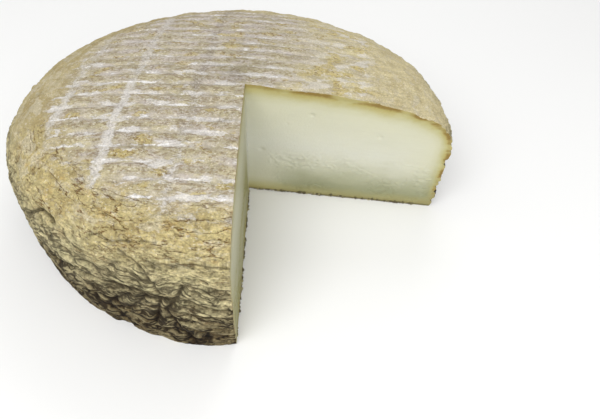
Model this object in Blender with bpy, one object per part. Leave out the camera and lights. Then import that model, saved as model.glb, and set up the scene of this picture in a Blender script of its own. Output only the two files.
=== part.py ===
"""A small ripened cheese wheel with a quarter cut out of it, at its real size in metres.

The wheel lies on its flat base with +Z up, and its axis is the Z axis. The open quarter lies
between +X and -Y. The domed rind, the marks that the ripening rack pressed into its top, the
folds of its side and the two flat cut faces all belong to one solid.
"""

import math
import random
from collections import namedtuple

import bmesh
import bpy
import numpy as np
from mathutils import Vector, noise
from mathutils.geometry import delaunay_2d_cdt

# Driving dimensions of the wheel
WHEEL_RADIUS = 0.100
CENTRE_HEIGHT = 0.0612
WIDEST_HEIGHT = 0.0203
DOME_POWER = 1.60
SHOULDER_POWER = 5.89
HEEL_DEPTH = 0.0017

# The cut: where its two faces meet, and the direction of each seen from above
CUT_CORNER = (0.0042, -0.0096)
CUT_LEFT_ANGLE = math.radians(-86.0)
CUT_BACK_ANGLE = math.radians(-2.4)

# The ripening rack: thin bars run almost along X, broad bands cross them
RACK_ANGLE = math.radians(1.0)
BAR_PITCH = 0.00787
BAR_SHIFT = -0.00254
BAR_WIDTH = 0.0022
BAR_DEPTH = 0.00055
BAND_PLACES = (-0.0686, -0.0437, -0.0157, 0.0110, 0.0375, 0.0640)
BAND_WIDTH = 0.0040
BAND_DEPTH = 0.00035
RACK_FADE = (0.70, 0.88)

# Low crags between the rack's marks
CRAG_HEIGHT = 0.0006
CRAG_LENGTH = 0.009
CRAG_WIDTH = 0.005
CRAG_SEED = 2

# The loose skin of the side: long shallow wrinkles, broad lumps and small knobs. Distances down
# the rind count from the centre of the top.
WRINKLE_DEPTH = 0.0013
WRINKLE_LENGTH = 0.022
WRINKLE_PITCH = 0.0048
WRINKLE_SEED = 4
BEND_LENGTH = 0.030
BEND_SEED = 3
WRINKLE_SHARPNESS = 0.16
WRINKLE_FADE = (0.086, 0.102)
WRINKLE_DEEPENS = (0.10, 0.14)
WRINKLE_LEAST = 0.55
LUMP_HEIGHT = 0.0007
LUMP_LENGTH = 0.022
LUMP_BIAS = 0.3
LUMP_FADE = (0.07, 0.10)
LUMP_ON_TOP = 0.5
LUMP_SEED = 1
KNOB_HEIGHT = 0.0008
KNOB_LENGTH = 0.0065
KNOB_BIAS = 0.7
KNOB_ON_TOP = 0.3
KNOB_SEED = 24
CALM_SHARE = 0.65
CALM_ZONE = (0.72, 0.92)
FLAT_BASE_MARGIN = 0.004

# How far one seed's noise lies from the next one's, in lengths of the noise
SEED_SHIFT = (17.3, -9.1, 5.7)

# The mesh: a lattice on the top that follows the rack, and a grid round the side
TOP_EDGE = 0.092
LATTICE_STEPS_PER_BAR = 3
LATTICE_SPACING = 0.0053
EDGE_CLEARANCE = 0.0022
MERGE_DISTANCE = 1e-7
SIDE_COLUMNS = 150
SIDE_ROWS = 29
SHARP_ANGLE = math.radians(40)

# A fold of the skin: its course as (azimuth in degrees, distance down the rind from the
# centre of the top in mm), its depth and its half width in mm
Fold = namedtuple("Fold", "course depth width")
NEAR_FOLDS = (
    Fold(((-128, 124), (-120, 118), (-112, 116), (-102, 115), (-96, 115.5)), 1.7, 1.7),
    Fold(((-107, 97.5), (-103, 100), (-100.5, 104), (-98, 113)), 1.1, 1.4),
    Fold(((-93, 108), (-95.5, 117), (-98, 123)), 1.4, 1.5),
    Fold(((-94, 113.5), (-91, 117), (-86.5, 118.5), (-84, 122)), 1.1, 1.3),
    Fold(((-98, 115), (-101, 133)), 1.3, 1.5),
    Fold(((-97.5, 122), (-95.5, 132), (-93.5, 142)), 1.4, 1.8),
    Fold(((-92, 107), (-89, 108.3), (-83, 108.7)), 0.9, 1.3),
    Fold(((-99, 99.5), (-93, 98), (-88.5, 98), (-83, 99)), 0.8, 1.2),
    Fold(((-105, 118), (-113, 132)), 1.2, 1.5),
    Fold(((-101.5, 117), (-107, 129)), 1.1, 1.5),
    Fold(((-134, 107), (-128.5, 99), (-124, 99.5)), 1.7, 1.9),
    Fold(((-114, 96), (-107.5, 94.5), (-99, 92)), 0.7, 1.2),
    Fold(((-118, 126), (-110, 136)), 1.1, 1.5),
)
SWELLING_SHARE = 0.22
SWELLING_PLACE = 2.2
SWELLING_WIDTH = 1.2

# The folds that are spread by chance, with the same units as above
FAR_FOLD_COUNT = 38
FAR_FOLD_SEED = 7
FAR_FOLD_AZIMUTHS = (0.0, 203.0)
FAR_FOLD_STARTS = (104, 138)
FAR_FOLD_SPREADS = (4, 15)
FAR_FOLD_DROPS = (1, 13)
FAR_FOLD_BENDS = (0.2, 0.8)
FAR_FOLD_LOWEST = 143
FAR_FOLD_DEPTHS = (0.8, 1.6)
FAR_FOLD_WIDTHS = (1.2, 1.8)

# The knife runs past the wheel by this much
KNIFE_MARGIN = 0.02

RIND_COLOUR = (0.56, 0.43, 0.22, 1)
RIND_ROUGHNESS = 0.85
PASTE_COLOUR = (0.72, 0.70, 0.45, 1)
PASTE_ROUGHNESS = 0.45


def smoothstep(low, high, value):
    """A smooth rise from 0 at low to 1 at high."""
    t = np.clip((value - low) / (high - low), 0, 1)
    return t * t * (3 - 2 * t)


class Profile:
    """The rind's half section, from the centre of the top down to the base."""

    def __init__(self, samples=600):
        turn = np.linspace(0, math.pi / 2, samples)
        top_radius = WHEEL_RADIUS * np.sin(turn) ** (2 / DOME_POWER)
        top_rise = CENTRE_HEIGHT - WIDEST_HEIGHT
        top_height = WIDEST_HEIGHT + top_rise * np.cos(turn) ** (2 / SHOULDER_POWER)
        heel_radius = WHEEL_RADIUS - HEEL_DEPTH * (1 - np.cos(turn[1:]))
        heel_height = WIDEST_HEIGHT * (1 - np.sin(turn[1:]))
        self.radius = np.concatenate([top_radius, heel_radius])
        self.height = np.concatenate([top_height, heel_height])
        steps = np.hypot(np.diff(self.radius), np.diff(self.height))
        self.down = np.concatenate([[0], np.cumsum(steps)])
        self.length = self.down[-1]

    def at(self, down):
        """Radius and height at a distance down the rind."""
        return np.interp(down, self.down, self.radius), np.interp(down, self.down, self.height)

    def normal(self, down, reach=0.0015):
        """The outward direction there, as its radial and upward parts."""
        above = self.at(np.maximum(down - reach, 0))
        below = self.at(np.minimum(down + reach, self.length))
        run, fall = below[0] - above[0], above[1] - below[1]
        size = np.hypot(run, fall)
        return fall / size, run / size

    def down_at_radius(self, radius):
        """The distance down the rind where the top reaches a radius."""
        top = self.height > WIDEST_HEIGHT
        return np.interp(radius, self.radius[top], self.down[top])


PROFILE = Profile()


def field(points, scale, seed):
    """Smooth noise between about -1 and 1 at each point, with lengths divided by scale."""
    shift = Vector(tuple(seed * step for step in SEED_SHIFT))
    scaled = np.asarray(points) / np.asarray(scale)
    return np.array([noise.noise(Vector(p) + shift) for p in scaled])


def rack_relief(x, y):
    """How far the rack's bars and bands press the top in."""
    along = x * math.cos(RACK_ANGLE) + y * math.sin(RACK_ANGLE)
    across = y * math.cos(RACK_ANGLE) - x * math.sin(RACK_ANGLE) - BAR_SHIFT
    off_bar = across - BAR_PITCH * np.round(across / BAR_PITCH)
    relief = BAR_DEPTH * np.exp(-((off_bar / (BAR_WIDTH / 2)) ** 2))
    for place in BAND_PLACES:
        relief = np.maximum(relief, BAND_DEPTH * np.exp(-(((along - place) / (BAND_WIDTH / 2)) ** 2)))
    fade = 1 - smoothstep(RACK_FADE[0], RACK_FADE[1], np.hypot(x, y) / WHEEL_RADIUS)
    return -relief * fade


def crag_relief(x, y):
    """Low crags that stand up here and there all over the top."""
    heights = field(np.stack([x, y, 0 * x], axis=1), (CRAG_LENGTH, CRAG_WIDTH, 1), CRAG_SEED)
    return CRAG_HEIGHT * np.maximum(heights, 0)


def far_folds():
    """Folds like the near ones, spread by chance over the rest of the side."""
    chance = random.Random(FAR_FOLD_SEED)
    folds = []
    for _ in range(FAR_FOLD_COUNT):
        azimuth = chance.uniform(*FAR_FOLD_AZIMUTHS)
        down = chance.uniform(*FAR_FOLD_STARTS)
        spread = chance.uniform(*FAR_FOLD_SPREADS)
        drop = chance.choice((-1, 1)) * chance.uniform(*FAR_FOLD_DROPS)
        middle = (azimuth + spread / 2, down + drop * chance.uniform(*FAR_FOLD_BENDS))
        end = (azimuth + spread, min(down + drop, FAR_FOLD_LOWEST))
        depth = chance.uniform(*FAR_FOLD_DEPTHS)
        width = chance.uniform(*FAR_FOLD_WIDTHS)
        folds.append(Fold(((azimuth, down), middle, end), depth, width))
    return folds


def distance_to_course(course, azimuth, down):
    """How far each point of the rind lies from a fold's course."""
    nearest = np.full_like(down, WHEEL_RADIUS)
    for (start, start_down), (end, end_down) in zip(course, course[1:]):
        turn = (np.degrees(azimuth) - start + 180) % 360 - 180
        side = np.radians(turn) * WHEEL_RADIUS
        rise = down - start_down / 1000
        run = math.radians(end - start) * WHEEL_RADIUS
        drop = (end_down - start_down) / 1000
        share = np.clip((side * run + rise * drop) / (run * run + drop * drop), 0, 1)
        nearest = np.minimum(nearest, np.hypot(side - share * run, rise - share * drop))
    return nearest


def fold_relief(azimuth, down):
    """Grooves along every fold, each with a low swelling beside it."""
    groove = np.zeros_like(down)
    swelling = np.zeros_like(down)
    for fold in NEAR_FOLDS + tuple(far_folds()):
        depth, width = fold.depth / 1000, fold.width / 1000
        off = distance_to_course(fold.course, azimuth, down) / width
        groove = np.maximum(groove, depth * np.exp(-(off**2)))
        beside = (off - SWELLING_PLACE) / SWELLING_WIDTH
        swelling = np.maximum(swelling, SWELLING_SHARE * depth * np.exp(-(beside**2)))
    return swelling - groove


def wrinkle_relief(azimuth, down):
    """Long wrinkles that run round the side, deepest towards the base."""
    x, y = WHEEL_RADIUS * np.cos(azimuth), WHEEL_RADIUS * np.sin(azimuth)
    bend = field(np.stack([x, y, down], axis=1), (BEND_LENGTH,) * 3, BEND_SEED)
    scale = (WRINKLE_LENGTH, WRINKLE_LENGTH, WRINKLE_PITCH)
    bent_down = down + bend * WRINKLE_PITCH
    waves = field(np.stack([x, y, bent_down], axis=1), scale, WRINKLE_SEED)
    grooves = np.exp(-((waves / WRINKLE_SHARPNESS) ** 2))
    strength = WRINKLE_LEAST + (1 - WRINKLE_LEAST) * smoothstep(*WRINKLE_DEEPENS, down)
    return -WRINKLE_DEPTH * strength * grooves * smoothstep(*WRINKLE_FADE, down)


def lump_relief(x, y, height, on_side):
    """Broad lumps and small knobs, lower on the top and, for the knobs, towards -X."""
    points = np.stack([x, y, height], axis=1)
    lumps = field(points, (LUMP_LENGTH,) * 3, LUMP_SEED) - LUMP_BIAS
    relief = LUMP_HEIGHT * lumps * (LUMP_ON_TOP + (1 - LUMP_ON_TOP) * on_side)
    knobs = field(points, (KNOB_LENGTH,) * 3, KNOB_SEED) - KNOB_BIAS
    calm = CALM_SHARE * smoothstep(*CALM_ZONE, -x / WHEEL_RADIUS)
    return relief + KNOB_HEIGHT * knobs * (KNOB_ON_TOP + (1 - KNOB_ON_TOP) * on_side) * (1 - calm)


def rind_points(azimuth, down):
    """Where the rind really lies, for each azimuth and distance down it."""
    radius, height = PROFILE.at(down)
    outward, upward = PROFILE.normal(down)
    x, y = radius * np.cos(azimuth), radius * np.sin(azimuth)
    on_side = smoothstep(*LUMP_FADE, down)
    relief = lump_relief(x, y, height, on_side)
    relief += rack_relief(x, y) + crag_relief(x, y) * (1 - on_side)
    relief += fold_relief(azimuth, down) + wrinkle_relief(azimuth, down)
    radius = radius + relief * outward
    rise = relief * upward * smoothstep(0, FLAT_BASE_MARGIN, PROFILE.length - down)
    return np.stack([radius * np.cos(azimuth), radius * np.sin(azimuth), height + rise], axis=1)


def top_lattice():
    """Points on the top in rows that follow the rack's bars, clear of the top's edge."""
    step = BAR_PITCH / LATTICE_STEPS_PER_BAR
    reach = int(TOP_EDGE / step) + 2
    points = []
    for row in range(-reach, reach + 1):
        across = BAR_SHIFT + row * step
        stagger = 0.5 * LATTICE_SPACING * (row % 2)
        for place in range(-reach, reach + 1):
            along = place * LATTICE_SPACING + stagger
            x = along * math.cos(RACK_ANGLE) - across * math.sin(RACK_ANGLE)
            y = along * math.sin(RACK_ANGLE) + across * math.cos(RACK_ANGLE)
            if math.hypot(x, y) < TOP_EDGE - EDGE_CLEARANCE:
                points.append((x, y))
    return points


def wheel_mesh():
    """The whole wheel before it is cut: a lattice for the top, a grid for the side, a flat base."""
    around = np.arange(SIDE_COLUMNS) * 2 * math.pi / SIDE_COLUMNS
    ring = [(TOP_EDGE * math.cos(a), TOP_EDGE * math.sin(a)) for a in around]
    flat = [Vector(p) for p in ring + top_lattice()]
    loop = [(i, (i + 1) % SIDE_COLUMNS) for i in range(SIDE_COLUMNS)]
    vertices, _, triangles, _, _, _ = delaunay_2d_cdt(flat, loop, [], 1, MERGE_DISTANCE)
    plan = np.array([tuple(v) for v in vertices])
    top_down = PROFILE.down_at_radius(np.hypot(plan[:, 0], plan[:, 1]))
    points = [rind_points(np.arctan2(plan[:, 1], plan[:, 0]), top_down)]
    faces = [tuple(t) for t in triangles]
    first_down = PROFILE.down_at_radius(TOP_EDGE)
    row_starts = [0]
    for row in range(1, SIDE_ROWS + 1):
        down = first_down + (PROFILE.length - first_down) * row / SIDE_ROWS
        row_starts.append(sum(len(p) for p in points))
        points.append(rind_points(around, np.full(SIDE_COLUMNS, down)))
    for upper, lower in zip(row_starts, row_starts[1:]):
        for i in range(SIDE_COLUMNS):
            j = (i + 1) % SIDE_COLUMNS
            faces.append((upper + i, lower + i, lower + j, upper + j))
    faces.append(tuple(row_starts[-1] + i for i in reversed(range(SIDE_COLUMNS))))
    mesh = bpy.data.meshes.new("cheese_wheel")
    mesh.from_pydata(np.concatenate(points).tolist(), [], faces)
    return mesh


def face_outward(mesh):
    """Turns every face of a closed mesh outward and splits the bent ones into triangles."""
    work = bmesh.new()
    work.from_mesh(mesh)
    bmesh.ops.recalc_face_normals(work, faces=work.faces)
    bent = [face for face in work.faces if len(face.verts) == 4]
    bmesh.ops.triangulate(work, faces=bent, quad_method="SHORT_EDGE")
    work.to_mesh(mesh)
    work.free()


def simple_material(name, colour, roughness):
    """A plain Principled BSDF finish."""
    material = bpy.data.materials.new(name)
    material.use_nodes = True
    shader = material.node_tree.nodes["Principled BSDF"]
    shader.inputs["Base Color"].default_value = colour
    shader.inputs["Roughness"].default_value = roughness
    shader.inputs["Metallic"].default_value = 0.0
    return material


def knife_cutter():
    """A guide with the shape of the open quarter, which runs past the wheel on every outer side."""
    reach = 2 * WHEEL_RADIUS + KNIFE_MARGIN
    corner = Vector((CUT_CORNER[0], CUT_CORNER[1], 0))
    outline = [corner]
    for angle in (CUT_LEFT_ANGLE, CUT_BACK_ANGLE):
        outline.append(corner + reach * Vector((math.cos(angle), math.sin(angle), 0)))
    below = Vector((0, 0, -KNIFE_MARGIN))
    above = Vector((0, 0, CENTRE_HEIGHT + KNIFE_MARGIN))
    work = bmesh.new()
    base = work.faces.new([work.verts.new(p + below) for p in outline])
    raised = bmesh.ops.extrude_face_region(work, geom=[base])["geom"]
    moved = [item for item in raised if isinstance(item, bmesh.types.BMVert)]
    bmesh.ops.translate(work, verts=moved, vec=above - below)
    bmesh.ops.recalc_face_normals(work, faces=work.faces)
    mesh = bpy.data.meshes.new("knife_cut")
    work.to_mesh(mesh)
    work.free()
    cutter = bpy.data.objects.new("knife_cut", mesh)
    bpy.context.scene.collection.objects.link(cutter)
    cutter.hide_render = True
    cutter.display_type = "WIRE"
    return cutter


def make_wheel():
    """The finished wheel: its rind all round, and the open quarter cut out by a Boolean."""
    mesh = wheel_mesh()
    face_outward(mesh)
    mesh.shade_smooth()
    mesh.set_sharp_from_angle(angle=SHARP_ANGLE)
    mesh.materials.append(simple_material("rind", RIND_COLOUR, RIND_ROUGHNESS))
    wheel = bpy.data.objects.new("cheese_wheel", mesh)
    bpy.context.scene.collection.objects.link(wheel)
    cutter = knife_cutter()
    cutter.data.materials.append(simple_material("paste", PASTE_COLOUR, PASTE_ROUGHNESS))
    cut = wheel.modifiers.new("open quarter", "BOOLEAN")
    cut.operation = "DIFFERENCE"
    cut.solver = "EXACT"
    cut.material_mode = "TRANSFER"
    cut.object = cutter
    return wheel


def main():
    """Clears the scene and builds the wheel."""
    for item in list(bpy.data.objects):
        bpy.data.objects.remove(item)
    make_wheel()


main()
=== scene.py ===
"""The looks of a small ripened cheese wheel with a quarter cut out of it.

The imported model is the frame: one node, the wheel. Its place is taken by finely modelled pieces
of the same size and form: the rind of the top, the rind of the side and base, the paste with its
two cut faces, and the crumbs that the knife left. Lengths are metres and +Z is up.
"""

from __future__ import annotations

import logging
import math
import random
from dataclasses import dataclass, field
from enum import Enum, IntEnum
from typing import Sequence, Union

import bmesh
import bpy
import numpy as np
from mathutils import Matrix, Vector, noise
from mathutils.geometry import delaunay_2d_cdt

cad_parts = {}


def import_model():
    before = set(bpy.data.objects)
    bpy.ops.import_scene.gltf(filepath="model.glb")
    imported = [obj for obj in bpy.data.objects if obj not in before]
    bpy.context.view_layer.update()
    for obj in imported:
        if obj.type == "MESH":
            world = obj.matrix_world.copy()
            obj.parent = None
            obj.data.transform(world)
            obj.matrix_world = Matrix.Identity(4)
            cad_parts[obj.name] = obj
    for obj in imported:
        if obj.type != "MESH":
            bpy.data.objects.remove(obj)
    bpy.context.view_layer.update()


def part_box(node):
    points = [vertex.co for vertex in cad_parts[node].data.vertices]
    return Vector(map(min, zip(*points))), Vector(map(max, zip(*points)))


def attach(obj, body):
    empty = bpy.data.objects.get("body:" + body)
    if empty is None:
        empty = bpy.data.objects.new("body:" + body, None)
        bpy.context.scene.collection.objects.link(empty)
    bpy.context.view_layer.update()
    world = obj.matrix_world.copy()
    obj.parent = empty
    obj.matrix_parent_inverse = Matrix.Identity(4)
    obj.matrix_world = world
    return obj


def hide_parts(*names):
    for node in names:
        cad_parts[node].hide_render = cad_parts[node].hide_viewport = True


LOG = logging.getLogger("cheese_wheel")
NODE = "cheese_wheel"
BODY = "root"
IMAGE_WIDTH = 600
MM = 0.001
SEED_SHIFT = (17.3, -9.1, 5.7)
ROUGH_SEED_SHIFT = (-11.9, 7.3, 3.1)
ROUGH_FADE, ROUGH_STEP = 0.7, 2.1


Span = tuple[float, float]
Size = tuple[float, float, float]


class Seed(IntEnum):
    """Which noise of the many each unevenness of the wheel takes."""

    LUMPS = 1
    CRAGS = 2
    WRINKLE_BEND = 3
    WRINKLES = 4
    RIPPLES = 5
    RACK_WOBBLE = 6
    RACK_GAPS = 7
    CRACK_GAPS = 10
    GRAIN = 11
    TORN_EDGE = 12
    FOLD_STRAY = 13
    FOLD_FRAY = 14
    RIPPLE_JITTER = 15
    PLATE_BEND_X = 16
    PLATE_BEND_Y = 17
    PLATE_BEND_Z = 18
    PLATE_FRAY_X = 19
    PLATE_FRAY_Y = 20
    BASE_HOLLOWS = 21
    PLATE_FRAY_Z = 22
    GRANULES = 23
    KNOBS = 24
    RIPPLE_GAPS = 25
    KNIFE_DRAG = 31
    SCALE_BEND = 33
    SCALES = 34
    TORN_PATCHES = 36


def smoothstep(low: float, high: float, value: np.ndarray) -> np.ndarray:
    """A smooth rise from 0 at low to 1 at high."""
    t = np.clip((value - low) / (high - low), 0, 1)
    return t * t * (3 - 2 * t)


def smooth_noise(points: np.ndarray, scale: Sequence[float], seed: int) -> np.ndarray:
    """Smooth noise between about -1 and 1.

    Args:
        points: One place per row, in metres.
        scale: The length of the noise along X, Y and Z.
        seed: Which noise of the many it is.

    Returns:
        One value per place.
    """
    shift = Vector(tuple(seed * step for step in SEED_SHIFT))
    return np.array([noise.noise(Vector(p) + shift) for p in points / np.asarray(scale)])


def rough_noise(points: np.ndarray, scale: Sequence[float], seed: int, octaves: int = 3) -> np.ndarray:
    """Noise with finer noise on top of it.

    Args:
        points: One place per row, in metres.
        scale: The length of the coarsest noise along X, Y and Z.
        seed: Which noise of the many it is.
        octaves: How many finenesses are added up.

    Returns:
        One value per place, between about -1 and 1.
    """
    shift = Vector(tuple(seed * step for step in ROUGH_SEED_SHIFT))
    spots = [Vector(p) + shift for p in points / np.asarray(scale)]
    return np.array([noise.fractal(spot, ROUGH_FADE, ROUGH_STEP, octaves) for spot in spots])


@dataclass(frozen=True)
class Unevenness:
    """Smooth noise of its own: its length along X, Y and Z, its seed and how far it reaches."""

    size: Size
    seed: Seed
    reach: float = 1.0

    def at(self, points: np.ndarray) -> np.ndarray:
        """The unevenness at each point, between about -reach and reach."""
        return self.reach * smooth_noise(points, self.size, self.seed)


@dataclass(frozen=True)
class Patchiness:
    """Where something shows: the length and seed of its noise, and the values it comes up between."""

    size: Size
    seed: Seed
    low: float
    high: float

    def at(self, points: np.ndarray, shift: Union[np.ndarray, float] = 0.0) -> np.ndarray:
        """How much of it shows at each point, from 0 to 1, after a shift of the noise."""
        return smoothstep(self.low, self.high, smooth_noise(points, self.size, self.seed) + shift)


@dataclass
class Profile:
    """The rind's half section, from the centre of the top down to the base."""

    radius: float = 0.100
    centre_height: float = 0.0612
    widest_height: float = 0.0203
    dome_power: float = 1.60
    shoulder_power: float = 5.89
    heel_depth: float = 0.0017
    top_edge: float = 0.092
    samples: int = 600

    def __post_init__(self) -> None:
        """Works out the section's points and how far down the rind each lies."""
        turn = np.linspace(0, math.pi / 2, self.samples)
        top_radii = self.radius * np.sin(turn) ** (2 / self.dome_power)
        top_rise = self.centre_height - self.widest_height
        top_heights = self.widest_height + top_rise * np.cos(turn) ** (2 / self.shoulder_power)
        heel_radii = self.radius - self.heel_depth * (1 - np.cos(turn[1:]))
        heel_heights = self.widest_height * (1 - np.sin(turn[1:]))
        self.radii = np.concatenate([top_radii, heel_radii])
        self.heights = np.concatenate([top_heights, heel_heights])
        steps = np.hypot(np.diff(self.radii), np.diff(self.heights))
        self.downs = np.concatenate([[0], np.cumsum(steps)])
        self.length = float(self.downs[-1])
        self.base_radius = self.radius - self.heel_depth

    def at(self, down: np.ndarray) -> tuple[np.ndarray, np.ndarray]:
        """Radius and height at a distance down the rind."""
        return np.interp(down, self.downs, self.radii), np.interp(down, self.downs, self.heights)

    def normal(self, down: np.ndarray, reach: float = 0.0015) -> tuple[np.ndarray, np.ndarray]:
        """The outward direction there, as its radial and upward parts."""
        above = self.at(np.maximum(down - reach, 0))
        below = self.at(np.minimum(down + reach, self.length))
        run, fall = below[0] - above[0], above[1] - below[1]
        size = np.hypot(run, fall)
        return fall / size, run / size

    def down_at_radius(self, radius: np.ndarray) -> np.ndarray:
        """The distance down the rind where the top reaches a radius."""
        top = self.heights > self.widest_height
        return np.interp(radius, self.radii[top], self.downs[top])


@dataclass(frozen=True)
class Cut:
    """The open quarter: the corner where its two faces meet, and the way each runs from there."""

    corner: Span = (0.0042, -0.0096)
    left_angle: float = math.radians(-86.0)
    back_angle: float = math.radians(-2.4)

    @property
    def sweep(self) -> float:
        """The angle at the corner that the cheese fills."""
        return 2 * math.pi - (self.back_angle - self.left_angle)

    def angle(self, share: np.ndarray) -> np.ndarray:
        """The direction at a share of the way from the back face round to the left face."""
        return self.back_angle + share * self.sweep

    def reach(self, angle: np.ndarray, radius: np.ndarray) -> np.ndarray:
        """How far from the corner a circle round the wheel's axis lies in a direction."""
        along = self.corner[0] * np.cos(angle) + self.corner[1] * np.sin(angle)
        return -along + np.sqrt(along**2 - math.hypot(*self.corner) ** 2 + np.square(radius))

    def place(self, angle: np.ndarray, distance: np.ndarray) -> tuple[np.ndarray, np.ndarray]:
        """The X and Y at a distance from the corner in a direction."""
        return self.corner[0] + distance * np.cos(angle), self.corner[1] + distance * np.sin(angle)


@dataclass(frozen=True)
class Rack:
    """The marks of the ripening rack: thin bars almost along X, and broad bands across them."""

    angle: float = math.radians(1.0)
    bar_pitch: float = 0.00787
    bar_shift: float = -0.00254
    bar_width: float = 0.0022
    bar_depth: float = 0.00055
    band_places: tuple[float, ...] = (-0.0686, -0.0437, -0.0157, 0.0110, 0.0375, 0.0640)
    band_width: float = 0.0040
    band_depth: float = 0.00035
    fade: Span = (0.70, 0.88)

    def coordinates(self, x: np.ndarray, y: np.ndarray) -> tuple[np.ndarray, np.ndarray]:
        """Distances along the bars, and across them from the middle bar."""
        along = x * math.cos(self.angle) + y * math.sin(self.angle)
        across = y * math.cos(self.angle) - x * math.sin(self.angle) - self.bar_shift
        return along, across

    def relief(self, x: np.ndarray, y: np.ndarray, wobble: np.ndarray, radius: float) -> np.ndarray:
        """How far the rack pressed the rind in.

        Args:
            x: The places' X.
            y: The places' Y.
            wobble: A sideways shift of the marks at each place.
            radius: The wheel's radius.

        Returns:
            The depth of the marks at each place.
        """
        along, across = self.coordinates(x, y)
        across = across + wobble
        off_bar = across - self.bar_pitch * np.round(across / self.bar_pitch)
        depth = self.bar_depth * np.exp(-((off_bar / (self.bar_width / 2)) ** 2))
        for place in self.band_places:
            off_band = (along + wobble - place) / (self.band_width / 2)
            depth = np.maximum(depth, self.band_depth * np.exp(-(off_band**2)))
        return depth * (1 - smoothstep(self.fade[0], self.fade[1], np.hypot(x, y) / radius))


@dataclass(frozen=True)
class Fold:
    """A fold of the skin.

    Its course is a list of places, each an azimuth in degrees and a distance down the rind from
    the centre of the top in mm. Its depth and its half width are in mm too.
    """

    course: tuple[Span, ...]
    depth: float
    width: float

    def distance(self, azimuth: np.ndarray, down: np.ndarray, radius: float) -> np.ndarray:
        """How far each place on the rind lies from the fold's course."""
        nearest = np.full_like(down, radius)
        for (start, start_down), (end, end_down) in zip(self.course, self.course[1:]):
            turn = (np.degrees(azimuth) - start + 180) % 360 - 180
            side = np.radians(turn) * radius
            rise = down - start_down * MM
            run = math.radians(end - start) * radius
            drop = (end_down - start_down) * MM
            share = np.clip((side * run + rise * drop) / (run * run + drop * drop), 0, 1)
            nearest = np.minimum(nearest, np.hypot(side - share * run, rise - share * drop))
        return nearest


NEAR_FOLDS = (
    Fold(((-128, 124), (-120, 118), (-112, 116), (-102, 115), (-96, 115.5)), 1.7, 1.7),
    Fold(((-107, 97.5), (-103, 100), (-100.5, 104), (-98, 113)), 1.1, 1.4),
    Fold(((-93, 108), (-95.5, 117), (-98, 123)), 1.4, 1.5),
    Fold(((-94, 113.5), (-91, 117), (-86.5, 118.5), (-84, 122)), 1.1, 1.3),
    Fold(((-98, 115), (-101, 133)), 1.3, 1.5),
    Fold(((-97.5, 122), (-95.5, 132), (-93.5, 142)), 1.4, 1.8),
    Fold(((-92, 107), (-89, 108.3), (-83, 108.7)), 0.9, 1.3),
    Fold(((-99, 99.5), (-93, 98), (-88.5, 98), (-83, 99)), 0.8, 1.2),
    Fold(((-105, 118), (-113, 132)), 1.2, 1.5),
    Fold(((-101.5, 117), (-107, 129)), 1.1, 1.5),
    Fold(((-134, 107), (-128.5, 99), (-124, 99.5)), 1.7, 1.9),
    Fold(((-114, 96), (-107.5, 94.5), (-99, 92)), 0.7, 1.2),
    Fold(((-118, 126), (-110, 136)), 1.1, 1.5),
)


@dataclass
class Relief:
    """What stands out of the rind's plain form at each place, and how folded and cracked it is there.

    Hollow shade is high in and beside the creases, and groove only at their bottom; the material reads both
    only to paint shade into the creases, broad in them and a dark shadow at their bottom. Flow is the
    distance down the rind, bent so that its level lines run along the folds.
    """

    height: np.ndarray
    hollow_shade: np.ndarray
    groove: np.ndarray
    crack: np.ndarray
    plate: np.ndarray
    crag: np.ndarray
    flow: np.ndarray

    @classmethod
    def blank(cls, height: np.ndarray) -> "Relief":
        """Relief that has nothing but a height."""
        return cls(height, *(np.zeros_like(height) for _ in range(6)))


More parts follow.
